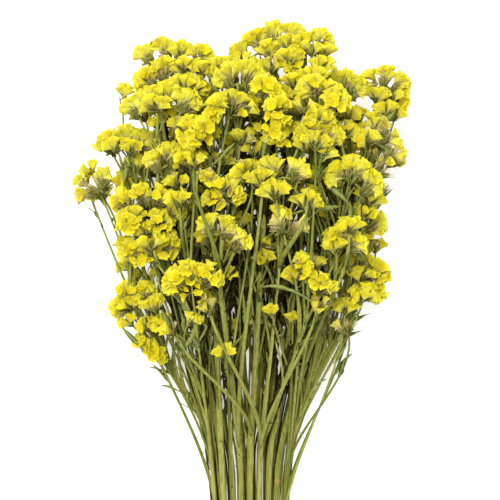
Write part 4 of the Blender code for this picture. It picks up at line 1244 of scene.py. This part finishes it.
blooms = [[] for _ in sprays]
greens = [[] for _ in sprays]
seeds = {"sprays": 100, "sprigs": 900, "runners": 1500, "broadLeaves": 1700, "filler": 2000}
for number, (spray, path) in enumerate(zip(sprays, stemPaths)):
    dice = np.random.default_rng(seeds["sprays"] + number)
    fork, heading = spray["stem"][-1], spray["heading"]
    tone = dice.random()
    greens[number].append((stemRings(path, spray["turn"], tone, dice), stemGreen))
    greens[number] += nodeLeaves(path, dice, *leaf["onStem"])
    greens[number] += underGrowth(path, dice)
    for which, (points, nod, swing, bare) in enumerate(spray["combs"]):
        stations = combStations(points, nod, swing, fork)
        joints = comb["branches"][which]
        openness = min(1, comb["openness"][0] + comb["openness"][1] * max(0, nod - comb["opensFrom"]))
        made, green = dressComb(stations, joints, heading, openness, bare, dice)
        blooms[number] += made
        greens[number] += green
        for order, share in enumerate(joints):
            if which == 0 and order == 0:
                continue
            end = stations["rachis"][round(share * (len(stations["rachis"]) - 1))]
            start = fork + (branchStart(order) * heading if which == 0 else 0)
            branch = bentPath(start, end, heading, unit(end - start), comb["branchSteps"])
            greens[number].append((tube(branch, *comb["branchRadius"], tone), stemGreen))
    root, way, across = spray["leaves"]
    large = leaf["large"]
    tone = dice.uniform(*large["tone"], len(root))
    made = blades(root, way, np.cross(way, across), large["length"], large["width"], large["thickness"],
                  large["curl"], leaf["profile"], tone, keel=large["keel"], wave=large["wave"],
                  phase=dice.uniform(0, 6))
    greens[number].append((made, leafGreen))
print("sprays dressed")

# What grows on a twig of its own leaves the stem that runs closest to where the twig should start.
owner = np.concatenate([np.full(len(path), i) for i, path in enumerate(stemPaths)])
allStems = np.vstack(stemPaths)
allWays = np.vstack([unit(np.gradient(path, axis=0)) for path in stemPaths])
twig = {
    "reach": (60, 200),
    "lean": 9.0,
    "splay": 0.05,
    "down": 0.12,
    "radius": (1.35, 0.9),
    "rooted": 0.4,
    "shade": 0.75,
    "thin": 0.6,
    "roll": 0.35,
    "nearness": (1, 1, 0.5),
    "floor": 2.0,
    "pull": 0.8,
    "steps": 18,
}


# A place in the picture and a height, as a point of the bunch.
def placed(px, py, height):
    closer = photoScale["size"] * (photoScale["eye"] - height) / (photoScale["eye"] - photoScale["level"])
    x = photoScale["middleX"] + (px - photoScale["middle"]) * closer
    return np.array([x, photoScale["middleY"] - (py - photoScale["middle"]) * closer, height])


# A twig from the point of a stem that is nearest to target up to root, arched upwards by half a sine
# wave of height lift and kept off the floor.
def growTwig(root, way, target, dice, lift=0.0, radius=twig["radius"], pull=twig["pull"]):
    start = (np.abs(allStems - target) * twig["nearness"]).sum(1).argmin()
    path = bentPath(allStems[start], root, allWays[start], way, twig["steps"], pull)
    path[:, 2] += lift * np.sin(np.pi * np.linspace(0, 1, len(path)))
    path[:, 2] = np.maximum(path[:, 2], twig["floor"])
    made = tube(path, *radius, dice.random(), twig["shade"], rooted=twig["rooted"])
    greens[owner[start]].append((made, stemGreen))
    return owner[start], path


# A fan on its twig. middle is the middle of the fan's rim, so its foot lies one radius back, and the twig
# starts at target or, without one, some way down the bunch.
def growSprig(middle, swing, nod, spread, radius, bare, dice, target=None, lift=0.0, thick=None):
    way = facing(nod, swing)
    across = unit(np.cross(way, (0, 0, 1)))
    across = unit(across + dice.uniform(-twig["roll"], twig["roll"]) * np.cross(across, way))
    root = middle - radius * way
    if target is None:
        lean = np.radians(dice.normal(0, twig["lean"]) - twig["splay"] * root[0])
        target = root - dice.uniform(*twig["reach"]) * np.array([np.sin(lean), np.cos(lean), twig["down"]])
    radii = (thick, twig["thin"] * thick) if thick else twig["radius"]
    number, path = growTwig(root, way, target, dice, lift, radii)
    made, green = dressFan(root, way, across, spread, radius, bare, dice)
    blooms[number] += made
    greens[number] += green + nodeLeaves(path, dice, *leaf["onTwig"])


for number, (px, py, height, *rest) in enumerate(sprigs):
    growSprig(placed(px, py, height), *rest, np.random.default_rng(seeds["sprigs"] + number))

for number, (px, py, height, *rest, fromX, fromY, fromHeight, lift, thick) in enumerate(runners):
    dice = np.random.default_rng(seeds["runners"] + number)
    growSprig(placed(px, py, height), *rest, dice, placed(fromX, fromY, fromHeight), lift, thick)

for number, (px, py, height, swing, nod, length, width, bend, roll) in enumerate(broadLeaves):
    dice, broad = np.random.default_rng(seeds["broadLeaves"] + number), leaf["broad"]
    root, way = placed(px, py, height), facing(nod, swing)
    right = np.cross(way, (0.0, 0.0, 1.0))
    face = unit(np.cross(right, way)) + np.tan(np.radians(roll)) * unit(right)
    target = root - broad["back"] * way - np.array(broad["down"])
    branch, path = growTwig(root, way, target, dice, pull=broad["pull"])
    tone = dice.uniform(*broad["tone"])
    made = blades(root[None], way[None], face[None], length, broad["width"] * width, broad["thickness"],
                  broad["curl"], leaf["profile"], tone, keel=broad["keel"], wave=broad["wave"],
                  phase=dice.uniform(0, 6), bend=bend)
    greens[branch].append((made, leafGreen))

# More fans between the others, to fill the bunch: thrown over the picture within a spindle-shaped
# outline, and lower within a clearing (its middle and its half width and height).
filler = {
    "count": 116,
    "middle": (250, 190),
    "half": 146,
    "taper": 0.36,
    "along": (70, 325),
    "height": (8, 62),
    "clearing": (290, 262, 60, 55),
    "cleared": 0.45,
    "swing": 22,
    "nod": (5, 35),
    "spread": (18, 50),
    "radius": (13, 19),
    "bare": (0, 0.2, 0.6, 0.95),
}
for number in range(filler["count"]):
    dice = np.random.default_rng(seeds["filler"] + number)
    py = dice.uniform(*filler["along"])
    half = filler["half"] - filler["taper"] * abs(py - filler["middle"][1])
    px = filler["middle"][0] + half * dice.uniform(-1, 1)
    height = dice.uniform(*filler["height"])
    cx, cy, rx, ry = filler["clearing"]
    if ((px - cx) / rx) ** 2 + ((py - cy) / ry) ** 2 < 1:
        height *= filler["cleared"]
    swing, nod = dice.normal(0, filler["swing"]), dice.uniform(*filler["nod"])
    spread, radius = dice.uniform(*filler["spread"]), dice.uniform(*filler["radius"])
    growSprig(placed(px, py, height), swing, nod, spread, radius, dice.choice(filler["bare"]), dice)
print("sprigs dressed")

for number, spray in enumerate(sprays):
    label = f"{number + 1:02d}"
    nodes = ["bloom_" + label] + (["side_bloom_" + label] if len(spray["combs"]) > 1 else [])
    makePiece("calyces" + label, blooms[number], nodes)
    makePiece("stalk" + label, greens[number], ["stem_" + label])
print("pieces made")


# Floor, light and camera: metres, watts, and millimetres for the lens.
stage = {
    "floorSize": 30.0,
    "floorDepth": -0.0005,
    "floorColour": (0.93, 0.93, 0.93),
    "floorGlow": 0.5,
    "world": 0.70,
    "keyPower": 21.0,
    "keyPlace": (-0.26, 0.5, 1.45),
    "keyAim": (0.0, 0.1, 0.05),
    "keySize": 0.9,
    "lens": 91.03,
    "sensor": 36,
}

floorMesh = bpy.data.meshes.new("floor")
half, depth = stage["floorSize"] / 2, stage["floorDepth"]
corners = [(-half, -half, depth), (half, -half, depth), (half, half, depth), (-half, half, depth)]
floorMesh.from_pydata(corners, [], [(0, 1, 2, 3)])
floorPaint = Paint("pale floor", 0.9)
floorPaint.shader.inputs["Base Color"].default_value = (*stage["floorColour"], 1)
floorPaint.shader.inputs["Specular IOR Level"].default_value = 0.1
floorPaint.shader.inputs["Emission Color"].default_value = (1, 1, 1, 1)
floorPaint.shader.inputs["Emission Strength"].default_value = stage["floorGlow"]
floorMesh.materials.append(floorPaint.material)
floor = bpy.data.objects.new("floor", floorMesh)
bpy.context.scene.collection.objects.link(floor)

world = bpy.data.worlds.new("soft room")
world.use_nodes = True
world.node_tree.nodes["Background"].inputs["Color"].default_value = (1, 1, 1, 1)
world.node_tree.nodes["Background"].inputs["Strength"].default_value = stage["world"]
bpy.context.scene.world = world

keyLight = bpy.data.lights.new("key", "AREA")
keyLight.energy = stage["keyPower"]
keyLight.shape = "DISK"
keyLight.size = stage["keySize"]
key = bpy.data.objects.new("key", keyLight)
key.location = stage["keyPlace"]
key.rotation_euler = (Vector(stage["keyAim"]) - key.location).to_track_quat("-Z", "Y").to_euler()
bpy.context.scene.collection.objects.link(key)

cameraData = bpy.data.cameras.new("camera")
cameraData.lens = stage["lens"]
cameraData.sensor_width = stage["sensor"]
camera = bpy.data.objects.new("camera", cameraData)
camera.location = [photoScale[k] / metre for k in ("middleX", "middleY", "eye")]
bpy.context.scene.collection.objects.link(camera)
bpy.context.scene.camera = camera
bpy.context.scene.view_settings.view_transform = "Standard"
print("stage set")
